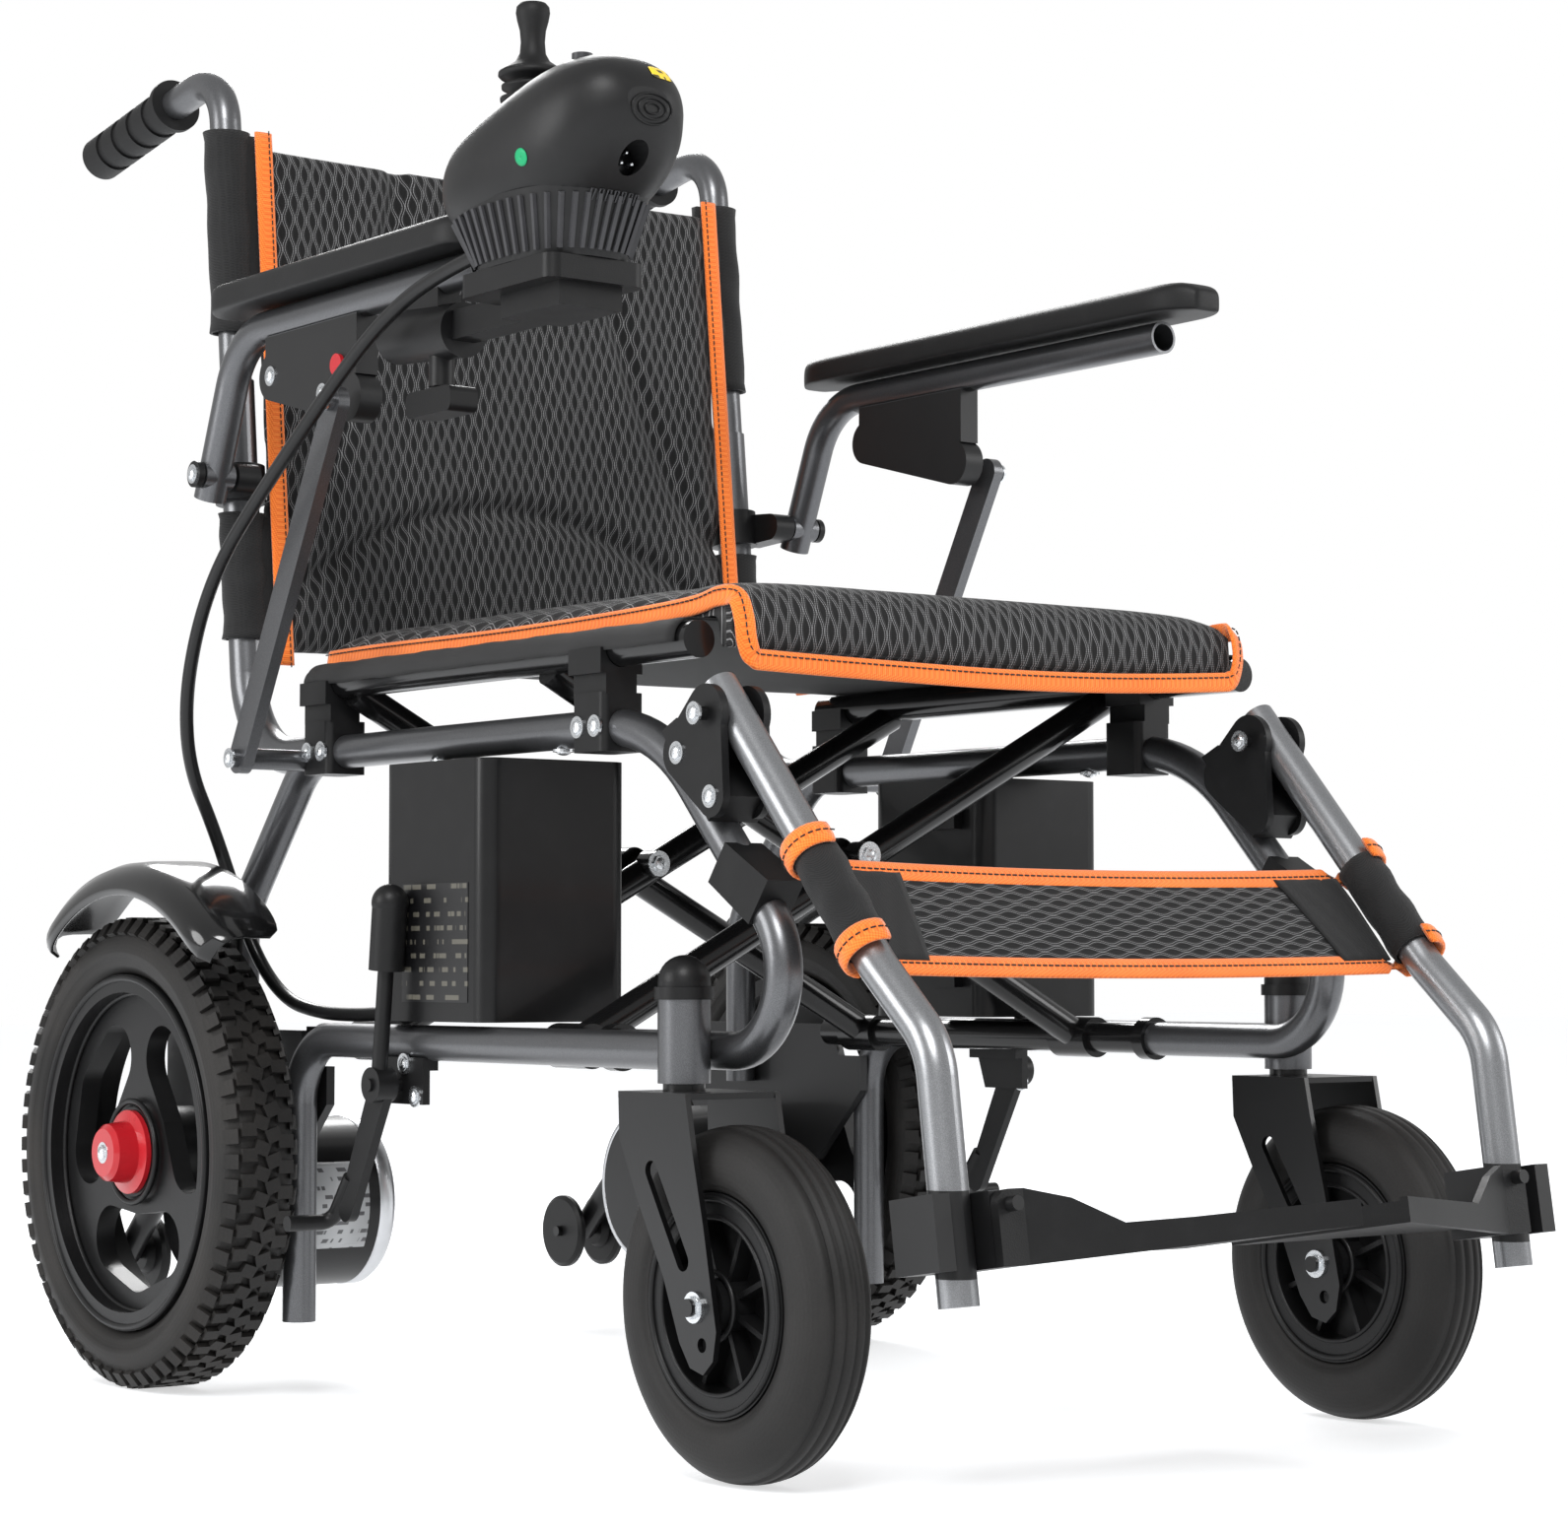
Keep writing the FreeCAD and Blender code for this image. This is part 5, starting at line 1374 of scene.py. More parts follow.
@dataclass
class BackRest:
    """Padded back panel between the canes, its sleeves, binding and sewn channels."""

    SLEEVE_POINTS = 28
    SLEEVE_STEPS = 22

    half: float = 0.2005
    low: float = 490.0
    high: float = 868.0
    lean: float = 0.1

    def cane(self, z: float) -> float:
        """Y of the cane's centre line at a height in millimetres."""
        return 545.6 + (z - 424.0) * self.lean

    def channel(self, x: float, z: float) -> float:
        """Depth of the sewn channels at a point of the panel, 0 to 1.

        Args:
            x: across the panel, in metres.
            z: height in millimetres.

        Returns:
            The depth.
        """
        arch = 612.0 - 74.0 * (x / 0.19) ** 2
        near = abs(z - arch)
        side = max(0.0, (0.196 - abs(x)) / 0.11)
        flank = 600.0 + 230.0 * side ** 2.0
        if abs(x) > 0.07:
            near = min(near, abs(z - flank) / (1 + 3.6 * side))
        return math.exp(-(near / 8.5) ** 2)

    def panel(self) -> None:
        """The pad itself: swelled by cloth simulation, then sewn through."""
        points, faces = [], []
        cols, rows = 40, 38
        for offset in (-14.5, 5.0):
            for i in range(rows + 1):
                z = self.low + 6 + (self.high - self.low - 12) * i / rows
                for j in range(cols + 1):
                    x = -self.half + 0.004 + (2 * self.half - 0.008) * j / cols
                    y = self.cane(z) + offset
                    points.append(at(x * 1000, y, z))
        row = cols + 1
        base = row * (rows + 1)
        for i in range(rows):
            for j in range(cols):
                a = i * row + j
                faces.append((a, a + 1, a + row + 1, a + row))
                faces.append((base + a, base + a + row, base + a + row + 1, base + a + 1))
        rim = list(range(cols + 1)) + [i * row + cols for i in range(1, rows + 1)]
        rim += [rows * row + j for j in range(cols - 1, -1, -1)] + [i * row
                                                                    for i in range(rows - 1, 0, -1)]
        for k, a in enumerate(rim):
            b = rim[(k + 1) % len(rim)]
            faces.append((a, base + a, base + b, b))
        pad = make_mesh("back_panel", points, faces, MESH)
        face_out(pad)
        soften(pad, 0.005, 4.0, 0.005)
        refine(pad, "SUBSURF", levels=1, render_levels=1)
        for vertex in pad.data.vertices:
            x, z = vertex.co.x, vertex.co.z * 1000
            depth = vertex.co.y * 1000 - STEM_Y * 1000 - self.cane(z)
            edge = max(0.0, 1 - (self.half - abs(x)) / 0.02)
            if depth < -2:
                vertex.co.y += 0.0088 * self.channel(x, z) + 0.003 * edge ** 2
        lay_cloth(pad, lambda p: (p.x, p.z))
        self.squeeze(dress(pad, "right_frame", "mesh_cloth", "back_upholstery"))

    def squeeze(self, obj: bpy.types.Object) -> None:
        """Give a piece its own copy of its mesh."""
        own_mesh(obj)

    def edge_path(self, x: float, lift: float) -> list[Vector]:
        """Points down one side edge of the panel's front."""
        return [at(x * 1000, self.cane(z) - 15.0 - lift * 1000, z)
                for z in (self.high - (self.high - self.low) * k / 40 for k in range(41))]

    def binding(self) -> None:
        """Orange tape down both sides, with its line of stitches."""
        for side in Side:
            s = side.value
            path = self.edge_path(s * 0.1935, 0.0032)
            ups = [Vector((0, -1, 0))] * len(path)
            tape = sweep(f"back_binding_{side.word}", path, ups, 0.0135, 0.0036, ORANGE, power=3.0)
            line = stitch_line(f"back_stitch_{side.word}",
                               [p + Vector((s * -0.0035, -0.002, 0)) for p in path])
            for obj, slot in ((tape, "mesh_cloth"), (line, "sling_cloth")):
                self.squeeze(dress(obj, "right_frame", slot))

    def sleeves(self) -> None:
        """Black nylon sleeves round the canes, wrinkled and joined to the panel's edge."""
        for side in Side:
            s = side.value
            for tag, z0, z1 in (("upper", 724.0, 868.0), ("lower", 508.0, 596.0)):
                rings = []
                steps = self.SLEEVE_STEPS
                for k in range(steps + 1):
                    z = z0 + (z1 - z0) * k / steps
                    ring = []
                    for t in circle(self.SLEEVE_POINTS):
                        fold = 0.5 * math.sin(3 * t + k * 0.7) + 0.4 * math.sin(k * 1.1 + 2 * t)
                        r = 15.6 + 0.7 * fold + (1.0 if k in (0, steps) else 0.0)
                        ring.append(at(s * (SIDE_X + r * math.cos(t)),
                                       self.cane(z) + r * math.sin(t), z))
                    rings.append(ring)
                inner = []
                for i, z in ((0, z0), (steps, z1)):
                    middle = at(s * SIDE_X, self.cane(z), z)
                    inner.append([middle + (p - middle) * 0.865 for p in rings[i]])
                cuff = loft(f"back_sleeve_{tag}_{side.word}", [inner[0], *rings, inner[1]], NYLON,
                            Cap.OPEN, True, True)
                lay_cloth(cuff, lambda p, s=s: (
                    math.atan2(p.y + STEM_Y, s * p.x - SIDE_X / 1000) * 0.016, p.z))
                web_rings = []
                for k in range(17):
                    z = z0 + 2 + (z1 - z0 - 4) * k / 16
                    y = self.cane(z) - 8.5 + 0.6 * math.sin(k * 0.9)
                    web_rings.append([at(s * 188, y - 3, z), at(s * 206, y - 4.5, z),
                                      at(s * 206, y + 4, z), at(s * 188, y + 4, z)])
                web = loft(f"web_{tag}_{side.word}", web_rings, NYLON)
                lay_cloth(web, lambda p: (p.x, p.z))
                dress(merge(f"back_sleeve_{tag}_{side.word}", [cuff, web]), f"{side.word}_frame",
                      "mesh_cloth")

    def build(self) -> None:
        """All of the backrest."""
        self.panel()
        self.binding()
        self.sleeves()


@dataclass
class Seat:
    """Padded cushion with its front roll, on a black sling over the seat rails."""

    half: float = 0.198
    front: float = 2.0
    rear: float = 470.0
    top: float = 506.0
    under: float = 485.6
    roll: float = 458.0

    def profile(self) -> list[tuple[float, float]]:
        """(y, z) outline of the cushion's long section, in millimetres.

        Returns:
            The outline's points in order.
        """
        return [(self.rear, self.under), (self.rear, self.top - 8), (self.rear - 6, self.top - 3),
                (440, self.top - 1), (300, self.top), (120, self.top), (50, self.top - 1),
                (24, self.top - 3),
                (10, self.top - 9), (self.front + 1, self.top - 22), (self.front, self.roll + 12),
                (self.front + 3, self.roll + 2), (self.front + 9, self.roll + 2),
                (self.front + 13, self.roll + 9), (self.front + 14.5, self.under), (24, self.under)]

    def cushion(self) -> None:
        """The pad, swelled by cloth simulation and laid flat underneath."""
        outline = self.profile()
        rings = []
        for k in range(31):
            x = -1 + 2 * k / 30
            pinch = 1 - 0.3 * abs(x) ** 8
            rings.append([at(x * self.half * 1000, y,
                             self.under + (z - self.under) * (pinch if z > self.under else 1))
                          for y, z in outline])
        pad = loft("seat_pad", rings, MESH)
        soften(pad, 0.0055, 4.0, 0.0045)
        floor = at(0, 0, self.under - 0.6).z
        for vertex in pad.data.vertices:
            if vertex.co.y > at(0, 22, 0).y:
                vertex.co.z = max(vertex.co.z, floor)
        refine(pad, "SUBSURF", levels=1, render_levels=1)
        bend = at(0, self.front + 14, 0).y
        crest = at(0, 0, self.top).z

        def where(p: Vector) -> tuple[float, float]:
            """Across and along the cloth, counted round the front roll."""
            return p.x, (p.y if p.y > bend else bend - (crest - p.z) * 0.9)

        lay_cloth(pad, where)
        self.squeeze(dress(pad, "seat", "mesh_cloth", "seat_cushion"))

    def squeeze(self, obj: bpy.types.Object) -> None:
        """Give a piece its own copy of its mesh."""
        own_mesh(obj)

    def binding(self) -> None:
        """Orange tape round the sides and along the bottom of the roll, with stitches."""
        h = self.half * 1000
        stops = [at(-h, 466, 488.5), at(-h, 400, 489), at(-h, 250, 488), at(-h, 120, 489.5),
                 at(-h, 50, 492),
                 at(-h, 22, 496), at(-h + 1, 6, 494), at(-h + 2, 0.5, 482), at(-h + 4, 0, 468),
                 at(-h + 9, 0, 459.5),
                 at(-h + 24, 0.4, 458.0), at(-h + 110, 0.4, 456.5), at(0, 0.4, 455.8),
                 at(h - 110, 0.4, 457.5),
                 at(h - 24, 0.4, 462), at(h - 9, 0, 464), at(h - 4, 0, 470), at(h - 2, 0.5, 482),
                 at(h - 1, 6, 494),
                 at(h, 22, 496), at(h, 50, 492), at(h, 120, 489.5), at(h, 250, 488),
                 at(h, 400, 489), at(h, 466, 488.5)]
        path = spline(stops, 260)
        ups = []
        for p in path:
            if p.y > at(0, 14, 0).y:
                ups.append(Vector((math.copysign(1, p.x), 0, 0.15)))
            else:
                ups.append(Vector((0.35 * math.copysign(1, p.x) if abs(p.x) > 0.19 else 0, -1, 0)))
        tape = sweep("seat_binding", path, ups, 0.0125, 0.0034, ORANGE, power=3.0)
        line = stitch_line("seat_stitch",
                           [p + u.normalized() * 0.0019 + Vector((0, 0, 0.003)) for p, u in
                                           zip(path, ups)])
        self.squeeze(dress(tape, "seat", "mesh_cloth"))
        self.squeeze(dress(line, "seat", "sling_cloth"))

    def sling(self) -> None:
        """Black nylon from rail to rail, over each rail's outside, with slightly waved ends."""
        outline = []
        for k in range(9):
            t = math.radians(-8 + 98 * k / 8)
            outline.append((-215 - 12.6 * math.cos(t), 470 + 12.6 * math.sin(t)))
        for k in range(1, 24):
            x = -215 + 430 * k / 24
            outline.append((x, 482.9 - 1.0 * (1 - (x / 215) ** 2)))
        outline += [(-x, z) for x, z in reversed(outline[:9])]
        rings = []
        for k in range(46):
            y = 25 + 420 * k / 45
            ripple = 0.45 * math.sin(k * 0.9) + 0.3 * math.sin(k * 2.3)
            rings.append([at(x, y + (0.8 * math.sin(x * 0.05) if k in (0, 45) else 0),
                             z + ripple * (0.6 if abs(x) > 200 else 0.25)) for x, z in outline])
        cloth = loft("sling", rings, NYLON, Cap.OPEN, False)
        refine(cloth, "SOLIDIFY", thickness=0.0013, offset=0.0)
        lay_cloth(cloth, lambda p: (p.x + p.z, p.y))
        self.squeeze(dress(cloth, "seat", "sling_cloth", "seat_sling"))

    def build(self) -> None:
        """All of the seat."""
        self.cushion()
        self.binding()
        self.sling()


@dataclass
class CalfStrap:
    """Mesh band between the hangers, with nylon cuffs and orange tape along both edges."""

    low: tuple[float, float] = (-134.0, 292.4)
    high: tuple[float, float] = (-86.0, 345.7)
    reach: float = 213.0

    def point(self, x: float, across: float, out: float) -> Vector:
        """A point of the band.

        Args:
            x: across the chair, in millimetres.
            across: 0 at the lower edge and 1 at the upper edge.
            out: how far in front of the band's plane, in millimetres.

        Returns:
            The point in the shared frame.
        """
        (y0, z0), (y1, z1) = self.low, self.high
        length = math.hypot(y1 - y0, z1 - z0)
        dy, dz = (y1 - y0) / length, (z1 - z0) / length
        sag = 1 - (x / self.reach) ** 2
        reach = length * across + sag * (5.0 if across > 0.5 else -2.0) * (across - 0.5) * -1.2
        return at(x, y0 + dy * reach - dz * out, z0 + dz * reach + dy * out)

    def build(self) -> None:
        """Band, cuffs, tapes and stitches."""
        rings = []
        for k in range(41):
            x = -198 + 396 * k / 40
            swell = -12.5 - 2.0 * (1 - (x / 198) ** 2)
            ring = [self.point(x, i / 10, swell + 1.2 * math.sin(math.pi * i / 10))
                    for i in range(11)]
            ring += [self.point(x, i / 10, swell - 2.2) for i in range(10, -1, -1)]
            rings.append(ring)
        band = loft("calf_band", rings, MESH_BAND)
        length = math.hypot(self.high[0] - self.low[0], self.high[1] - self.low[1])

        def where(p: Vector) -> tuple[float, float]:
            """Across the band first, then along it."""
            return p.x, (p.z * 1000 - self.low[1]) / (self.high[1] - self.low[1]) * length / 1000

        lay_cloth(band, where)
        self.squeeze(dress(band, "right_hanger", "mesh_cloth", "calf_strap"))
        for side in Side:
            s = side.value
            cuff = self.cuff(s, side.word)
            self.squeeze(dress(cuff, "right_hanger", "sling_cloth"))
            self.squeeze(dress(self.end_patch(s, side.word), "right_hanger", "sling_cloth"))
        for tag, across in (("upper", 1.0), ("lower", 0.0)):
            path, ups = self.tape_path(across)
            tape = sweep(f"calf_tape_{tag}", path, ups, 0.0145, 0.0036, ORANGE, power=3.0)
            line = stitch_line(f"calf_stitch_{tag}", [p + u * 0.0021 for p, u in zip(path, ups)])
            self.squeeze(dress(tape, "right_hanger", "mesh_cloth"))
            self.squeeze(dress(line, "right_hanger", "sling_cloth"))

    def tape_path(self, across: float) -> tuple[list[Vector], list[Vector]]:
        """The tape's middle line from round one cuff, along the band and round the other.

        Args:
            across: 0 at the lower edge and 1 at the upper edge.

        Returns:
            The line's points and the direction of the tape's thickness at each.
        """
        path, ups = [], []
        tubes = []
        for k in range(15):
            t = math.radians(100 - 190 * k / 14)
            tubes.append((-213 - 15.8 * math.cos(t), 15.8 * math.sin(t), -math.cos(t), math.sin(t)))
        tubes = [t for t in tubes if t[0] < -209 or t[1] < 0]
        for x, out, ux, uo in tubes:
            path.append(self.point(x, across, out))
            ups.append((ux, uo))
        for k in range(1, 40):
            x = -205 + 410 * k / 40
            path.append(self.point(x, across, -12.6 - 2.6 * (1 - (x / 205) ** 2)))
            ups.append((0.0, 1.0))
        for x, out, ux, uo in reversed(tubes):
            path.append(self.point(-x, across, out))
            ups.append((-ux, uo))
        (y0, z0), (y1, z1) = self.low, self.high
        length = math.hypot(y1 - y0, z1 - z0)
        dy, dz = (y1 - y0) / length, (z1 - z0) / length
        return path, [Vector((ux, -dz * uo, dy * uo)).normalized() for ux, uo in ups]

    def end_patch(self, s: int, word: str) -> bpy.types.Object:
        """Nylon sewn over the band's end, slanting to its inner edge.

        Args:
            s: the side, 1 or -1.
            word: the side's name.

        Returns:
            The patch.
        """
        rings = []
        for k in range(13):
            ring = []
            for i in range(15):
                across = 0.03 + 0.94 * i / 14
                inner = 146 + 16 * (1 - across)
                x = inner + (201 - inner) * k / 12
                swell = -12.5 - 2.0 * (1 - (x / 198) ** 2) + 1.2 * math.sin(math.pi * across)
                crease = 0.25 * math.sin(k * 1.7 + i * 0.6)
                ring.append(self.point(s * x, across, swell + 0.9 + crease))
            rings.append(ring)
        patch = loft(f"calf_patch_{word}", rings, NYLON, Cap.OPEN, False)
        refine(patch, "SOLIDIFY", thickness=0.0012, offset=0.0)
        lay_cloth(patch, lambda p: (p.x, p.z * 1.3))
        return patch

    def cuff(self, s: int, word: str) -> bpy.types.Object:
        """Nylon wrapped round one hanger.

        Args:
            s: the side, 1 or -1.
            word: the side's name.

        Returns:
            The cuff.
        """
        rings = []
        for k in range(15):
            across = 0.02 + 0.96 * k / 14
            ring = []
            for t in circle(26):
                r = 13.4 + 0.45 * math.sin(3 * t + k) + 0.3 * math.sin(k * 1.3)
                ring.append(self.point(s * SIDE_X + r * math.cos(t), across, r * math.sin(t)))
            rings.append(ring)
        cuff = loft(f"calf_cuff_{word}", rings, NYLON, Cap.OPEN)
        refine(cuff, "SOLIDIFY", thickness=0.0012, offset=0.0)
        lay_cloth(cuff, lambda p: (p.x * 1.2 + p.y * 0.4, p.z * 1.3))
        return cuff

    def squeeze(self, obj: bpy.types.Object) -> None:
        """Give a piece its own copy of its mesh."""
        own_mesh(obj)


@dataclass
class ArmPad:
    """Moulded armrest pad with a parting line and turned-down ends."""

    side: Side
    front: float
    rear: float = 512.0
    low: float = 720.0
    high: float = 740.6

    def build(self) -> None:
        """Loft of rounded sections, narrower towards both ends."""
        s = self.side.value
        rings = []
        length = self.rear - self.front
        shares = [0, 0.004, 0.012, 0.03, 0.06, *(0.1 + 0.8 * k / 14 for k in range(15)),
                  0.94, 0.97, 0.988, 0.996, 1]
        for share in shares:
            end = min(share, 1 - share)
            wide = 24.6 * (0.42 + 0.58 * min(1.0, math.sin(min(1.0, end / 0.06) * math.pi / 2)))
            tall = self.high - 7 * max(0.0, 1 - end / 0.02)
            y = self.front + 0.3 + (length - 0.6) * share
            ring = []
            for t in circle(28):
                c, n = math.cos(t), math.sin(t)
                px = squared(c, 0.42) * wide
                pz = squared(n, 0.55 if n > 0 else 0.25)
                middle = self.low + 7
                z = middle + pz * (tall - middle if n > 0 else middle - self.low)
                ring.append(at(s * (251 + px), y, z))
            rings.append(ring)
        pad = loft(f"arm_pad_{self.side.word}", rings, PAD)
        refine(pad, "SUBSURF", levels=1, render_levels=1)
        dress(pad, f"{self.side.word}_armrest", "pad_plastic", f"armrest_pad_{self.side.word}")


class Skin:
    """The surface of one CAD node, for laying trim on it."""

    def __init__(self, node: str) -> None:
        """Read the node's mesh, whose place is in its points.

        Args:
            node: the node's name.
        """
        mesh = frame["nodes"][node].data
        points = [vertex.co.copy() for vertex in mesh.vertices]
        self.tree = BVHTree.FromPolygons(points, [tuple(face.vertices) for face in mesh.polygons])

    def drop(self, start: Vector, way: Vector, lift: float) -> tuple[Vector, Vector]:
        """Where a line meets the skin.

        Args:
            start: a point outside.
            way: the direction to look.
            lift: how far above the skin the answer lies.

        Returns:
            The lifted point and the skin's outward direction there.
        """
        spot, normal, _, _ = self.tree.ray_cast(start, way)
        if spot is None:
            return start, -way
        if normal.dot(way) > 0:
            normal = -normal
        return spot + normal * lift, normal


@dataclass
class Controller:
    """Joystick pod: louvred base, bellows, grille, charging socket, vents and plain stickers."""

    x: float = -262.0
    stick_y: float = 122.0
    base_y: float = 100.0
    nose_z: float = 742.0

    def louvre(self, skin: Skin) -> None:
        """Upright fins round the tapered base.

        Args:
            skin: the pod's surface.
        """
        spots = []
        for t in circle(42):
            out = Vector((math.cos(t), 1.45 * math.sin(t), 0)).normalized()
            ends = []
            for z in (694, 724):
                centre = at(self.x, self.base_y, z)
                ends.append(skin.drop(centre + out * 0.2, -out, 0.0006)[0])
            spots.append(((ends[0] + ends[1]) / 2, ends[1] - ends[0]))
        # The fins are coloured lighter grey than the pod: a painted highlight standing in for their
        # shine.
        fins = bar_tree(KEY_GREY_AND_FIN_HIGHLIGHT, "louvre_fins").bake("pod_louvre", points_with_axis(spots), wide=0.0026,
                                                 deep=0.0026, tall=0.032)
        dress(fins, "controller", "black_plastic")

    def stick(self) -> None:
        """Joystick with soft head, flared skirt and four bellows folds."""
        profile = [(0.0, 0.0), (0.0, 0.012), (0.002, 0.0155), (0.0045, 0.0195), (0.0065, 0.0198),
                   (0.0085, 0.0142),
                   (0.0095, 0.0142), (0.012, 0.0192), (0.014, 0.0194), (0.016, 0.0135),
                   (0.017, 0.0135),
                   (0.0195, 0.0184), (0.0215, 0.0186), (0.0235, 0.0115), (0.0245, 0.0115),
                   (0.026, 0.0192),
                   (0.0275, 0.0206), (0.0295, 0.0204), (0.032, 0.0165), (0.036, 0.0105),
                   (0.041, 0.0078),
                   (0.048, 0.0072), (0.055, 0.0078), (0.061, 0.0094), (0.0655, 0.0102),
                   (0.069, 0.0098), (0.0712, 0.008), (0.072, 0.0045), (0.072, 0.0)]
        base = at(self.x, self.stick_y, 782)
        body = lathe("joystick_boot", [(a * 0.995, r) for a, r in profile], base, ALONG_Z, GRIP, 40,
                     False)
        dress(body, "stick", "grip_rubber", "joystick")

    def ribbon(self, skin: Skin, name: str, outline: Sequence[tuple[float, float]], finish: Finish,
               thick: float = 0.0014) -> bpy.types.Object:
        """A closed raised line on the front face; the outline counts across and up, in millimetres.

        Args:
            skin: the pod's surface.
            name: the piece's name.
            outline: the line's points.
            finish: its finish.
            thick: its thickness in metres.

        Returns:
            The line as a piece.
        """
        path, ups = [], []
        for across, up in outline:
            spot, normal = skin.drop(at(self.x + across, -60, self.nose_z + up), ALONG_Y, 0.0004)
            path.append(spot)
            ups.append(normal)
        return sweep(name, path, ups, thick, thick, finish, looped=True, power=2.0)

    def front(self, skin: Skin) -> None:
        """Speaker rings and vents on the sloped front face.

        Args:
            skin: the pod's surface.
        """
        lines = []
        for k, r in enumerate((5.0, 9.5, 14.0)):
            outline = [(r * math.cos(t) + 3, 26 + 0.62 * r * math.sin(t)) for t in circle(28)]
            lines.append(self.ribbon(skin, f"speaker_{k}", outline, FITTING))
        for k in range(7):
            across = -15 + 5 * k
            outline = [(across - 1.1, -22), (across + 1.1, -22), (across + 1.6, -16),
                       (across - 0.6, -16)]
            lines.append(self.ribbon(skin, f"vent_{k}", outline, KEY_GREY_AND_FIN_HIGHLIGHT, 0.0011))
        dress(merge("pod_front_trim", lines), "controller", "black_plastic")

    def socket(self) -> None:
        """Charging socket: a recessed disc and three pins."""
        centre = at(self.x, 0, self.nose_z)
        y0 = at(0, 30, 0).y - centre.y
        plate = [(y0, 0.0), (y0, 0.0086), (y0 + 0.003, 0.0087), (y0 + 0.003, 0.0)]
        disc = lathe("socket_disc", plate, centre, ALONG_Y, FITTING, 32, False)
        dress(disc, "controller", "black_plastic")
        pin = [(y0 - 0.007, 0.0), (y0 - 0.0065, 0.0009), (y0 - 0.006, 0.0012), (y0, 0.0012),
               (y0, 0.0)]
        pins = []
        for k in range(3):
            t = math.radians(90 + 120 * k)
            spot = centre + Vector((0.0042 * math.cos(t), 0, 0.0042 * math.sin(t)))
            pins.append(lathe(f"pin_{k}", pin, spot, ALONG_Y, ZINC, 12, False))
        dress(merge("socket_pins", pins), "controller", "black_plastic")

    def sticker(self, skin: Skin, name: str, start: Vector, way: Vector, aside: Vector,
                size: tuple[float, float], finish: Finish, oval: bool = False) -> None:
        """A thin plain label that follows the skin.

        Args:
            skin: the surface that it lies on.
            name: the piece's name.
            start: a point outside, over its middle.
            way: the direction towards the skin.
            aside: the direction of its length.
            size: length and width in metres.
            finish: its finish.
            oval: an oval instead of a rounded rectangle.
        """
        up = way.cross(aside).normalized()
        power = 1.0 if oval else 0.4
        rings = []
        for share in (0.02, 0.35, 0.7, 1.0):
            ring = []
            for t in circle(32):
                a = squared(math.cos(t), power) * size[0] / 2 * share
                b = squared(math.sin(t), power) * size[1] / 2 * share
                ring.append(skin.drop(start + aside * a + up * b, way, 0.00035)[0])
            rings.append(ring)
        label = loft(name, rings, finish, Cap.OPEN)
        refine(label, "SOLIDIFY", thickness=0.0002, offset=0.0)
        dress(label, "controller", "black_plastic")

    def build(self) -> None:
        """All of the pod's dressing."""
        skin = Skin("controller_shell")
        self.louvre(skin)
        self.stick()
        self.front(skin)
        self.socket()
        slope = Vector((-0.12, 1.0, -0.25)).normalized()
        start = at(self.x + 12, 20, 788) - slope * 0.12
        tilted = Vector((1, 0, 0.05)).normalized()
        self.sticker(skin, "yellow_sticker", start, slope, tilted, (0.017, 0.0085), YELLOW_LABEL)
        self.sticker(skin, "green_sticker", at(self.x - 120, 62, 744), ALONG_X, ALONG_Y,
                     (0.010, 0.010), GREEN_LABEL, True)


@dataclass
class Battery:
    """Plain label of a battery case."""

    side: Side

    def build(self) -> None:
        """A thin plate low on the outer face."""
        s = self.side.value
        low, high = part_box(f"battery_box_{self.side.word}")
        outer = high.x if s > 0 else low.x
        y0, y1 = low.y + 0.014, high.y - 0.014
        x = outer + s * 0.0004
        points = [Vector((x, y0 + 0.004, low.z + 0.012)), Vector((x, y1 - 0.012, low.z + 0.012)),
                  Vector((x, y1 - 0.012, low.z + 0.085)), Vector((x, y0 + 0.004, low.z + 0.085))]
        back = [p - Vector((s * 0.0003, 0, 0)) for p in points]
        label = make_mesh(f"battery_label_{self.side.word}", points + back,
                          [(0, 1, 2, 3), (7, 6, 5, 4), (0, 4, 5, 1), (1, 5, 6, 2), (2, 6, 7, 3),
                           (3, 7, 4, 0)],
                          BATTERY_LABEL, False)
        face_out(label)
        dress(label, f"{self.side.word}_frame", "black_plastic")


@dataclass
class Motor:
    """Aluminium end ring and plain label of a drive motor."""

    side: Side

    def build(self) -> None:
        """Ring near the inner end, label round the shell."""
        s = self.side.value
        centre = at(0, WHEEL_Y, 120)
        ring = [(s * 0.1252, 0.052), (s * 0.1248, 0.0565), (s * 0.128, 0.0585), (s * 0.137, 0.0585),
                (s * 0.1376, 0.0578), (s * 0.1376, 0.052)]
        collar = lathe(f"motor_collar_{self.side.word}", ring, centre, ALONG_X, ALUMINIUM, 80)
        dress(collar, f"{self.side.word}_frame", "motor_case")
        rings = []
        for k in range(21):
            t = math.radians(150 + 60 * k / 20)
            rings.append([Vector((s * x, centre.y + 0.0584 * math.cos(t),
                                  centre.z + 0.0584 * math.sin(t)))
                          for x in (0.146, 0.2)])
        label = loft(f"motor_label_{self.side.word}", rings, MOTOR_LABEL, Cap.OPEN, False)
        refine(label, "SOLIDIFY", thickness=0.0003, offset=0.0)
        dress(label, f"{self.side.word}_frame", "motor_case")


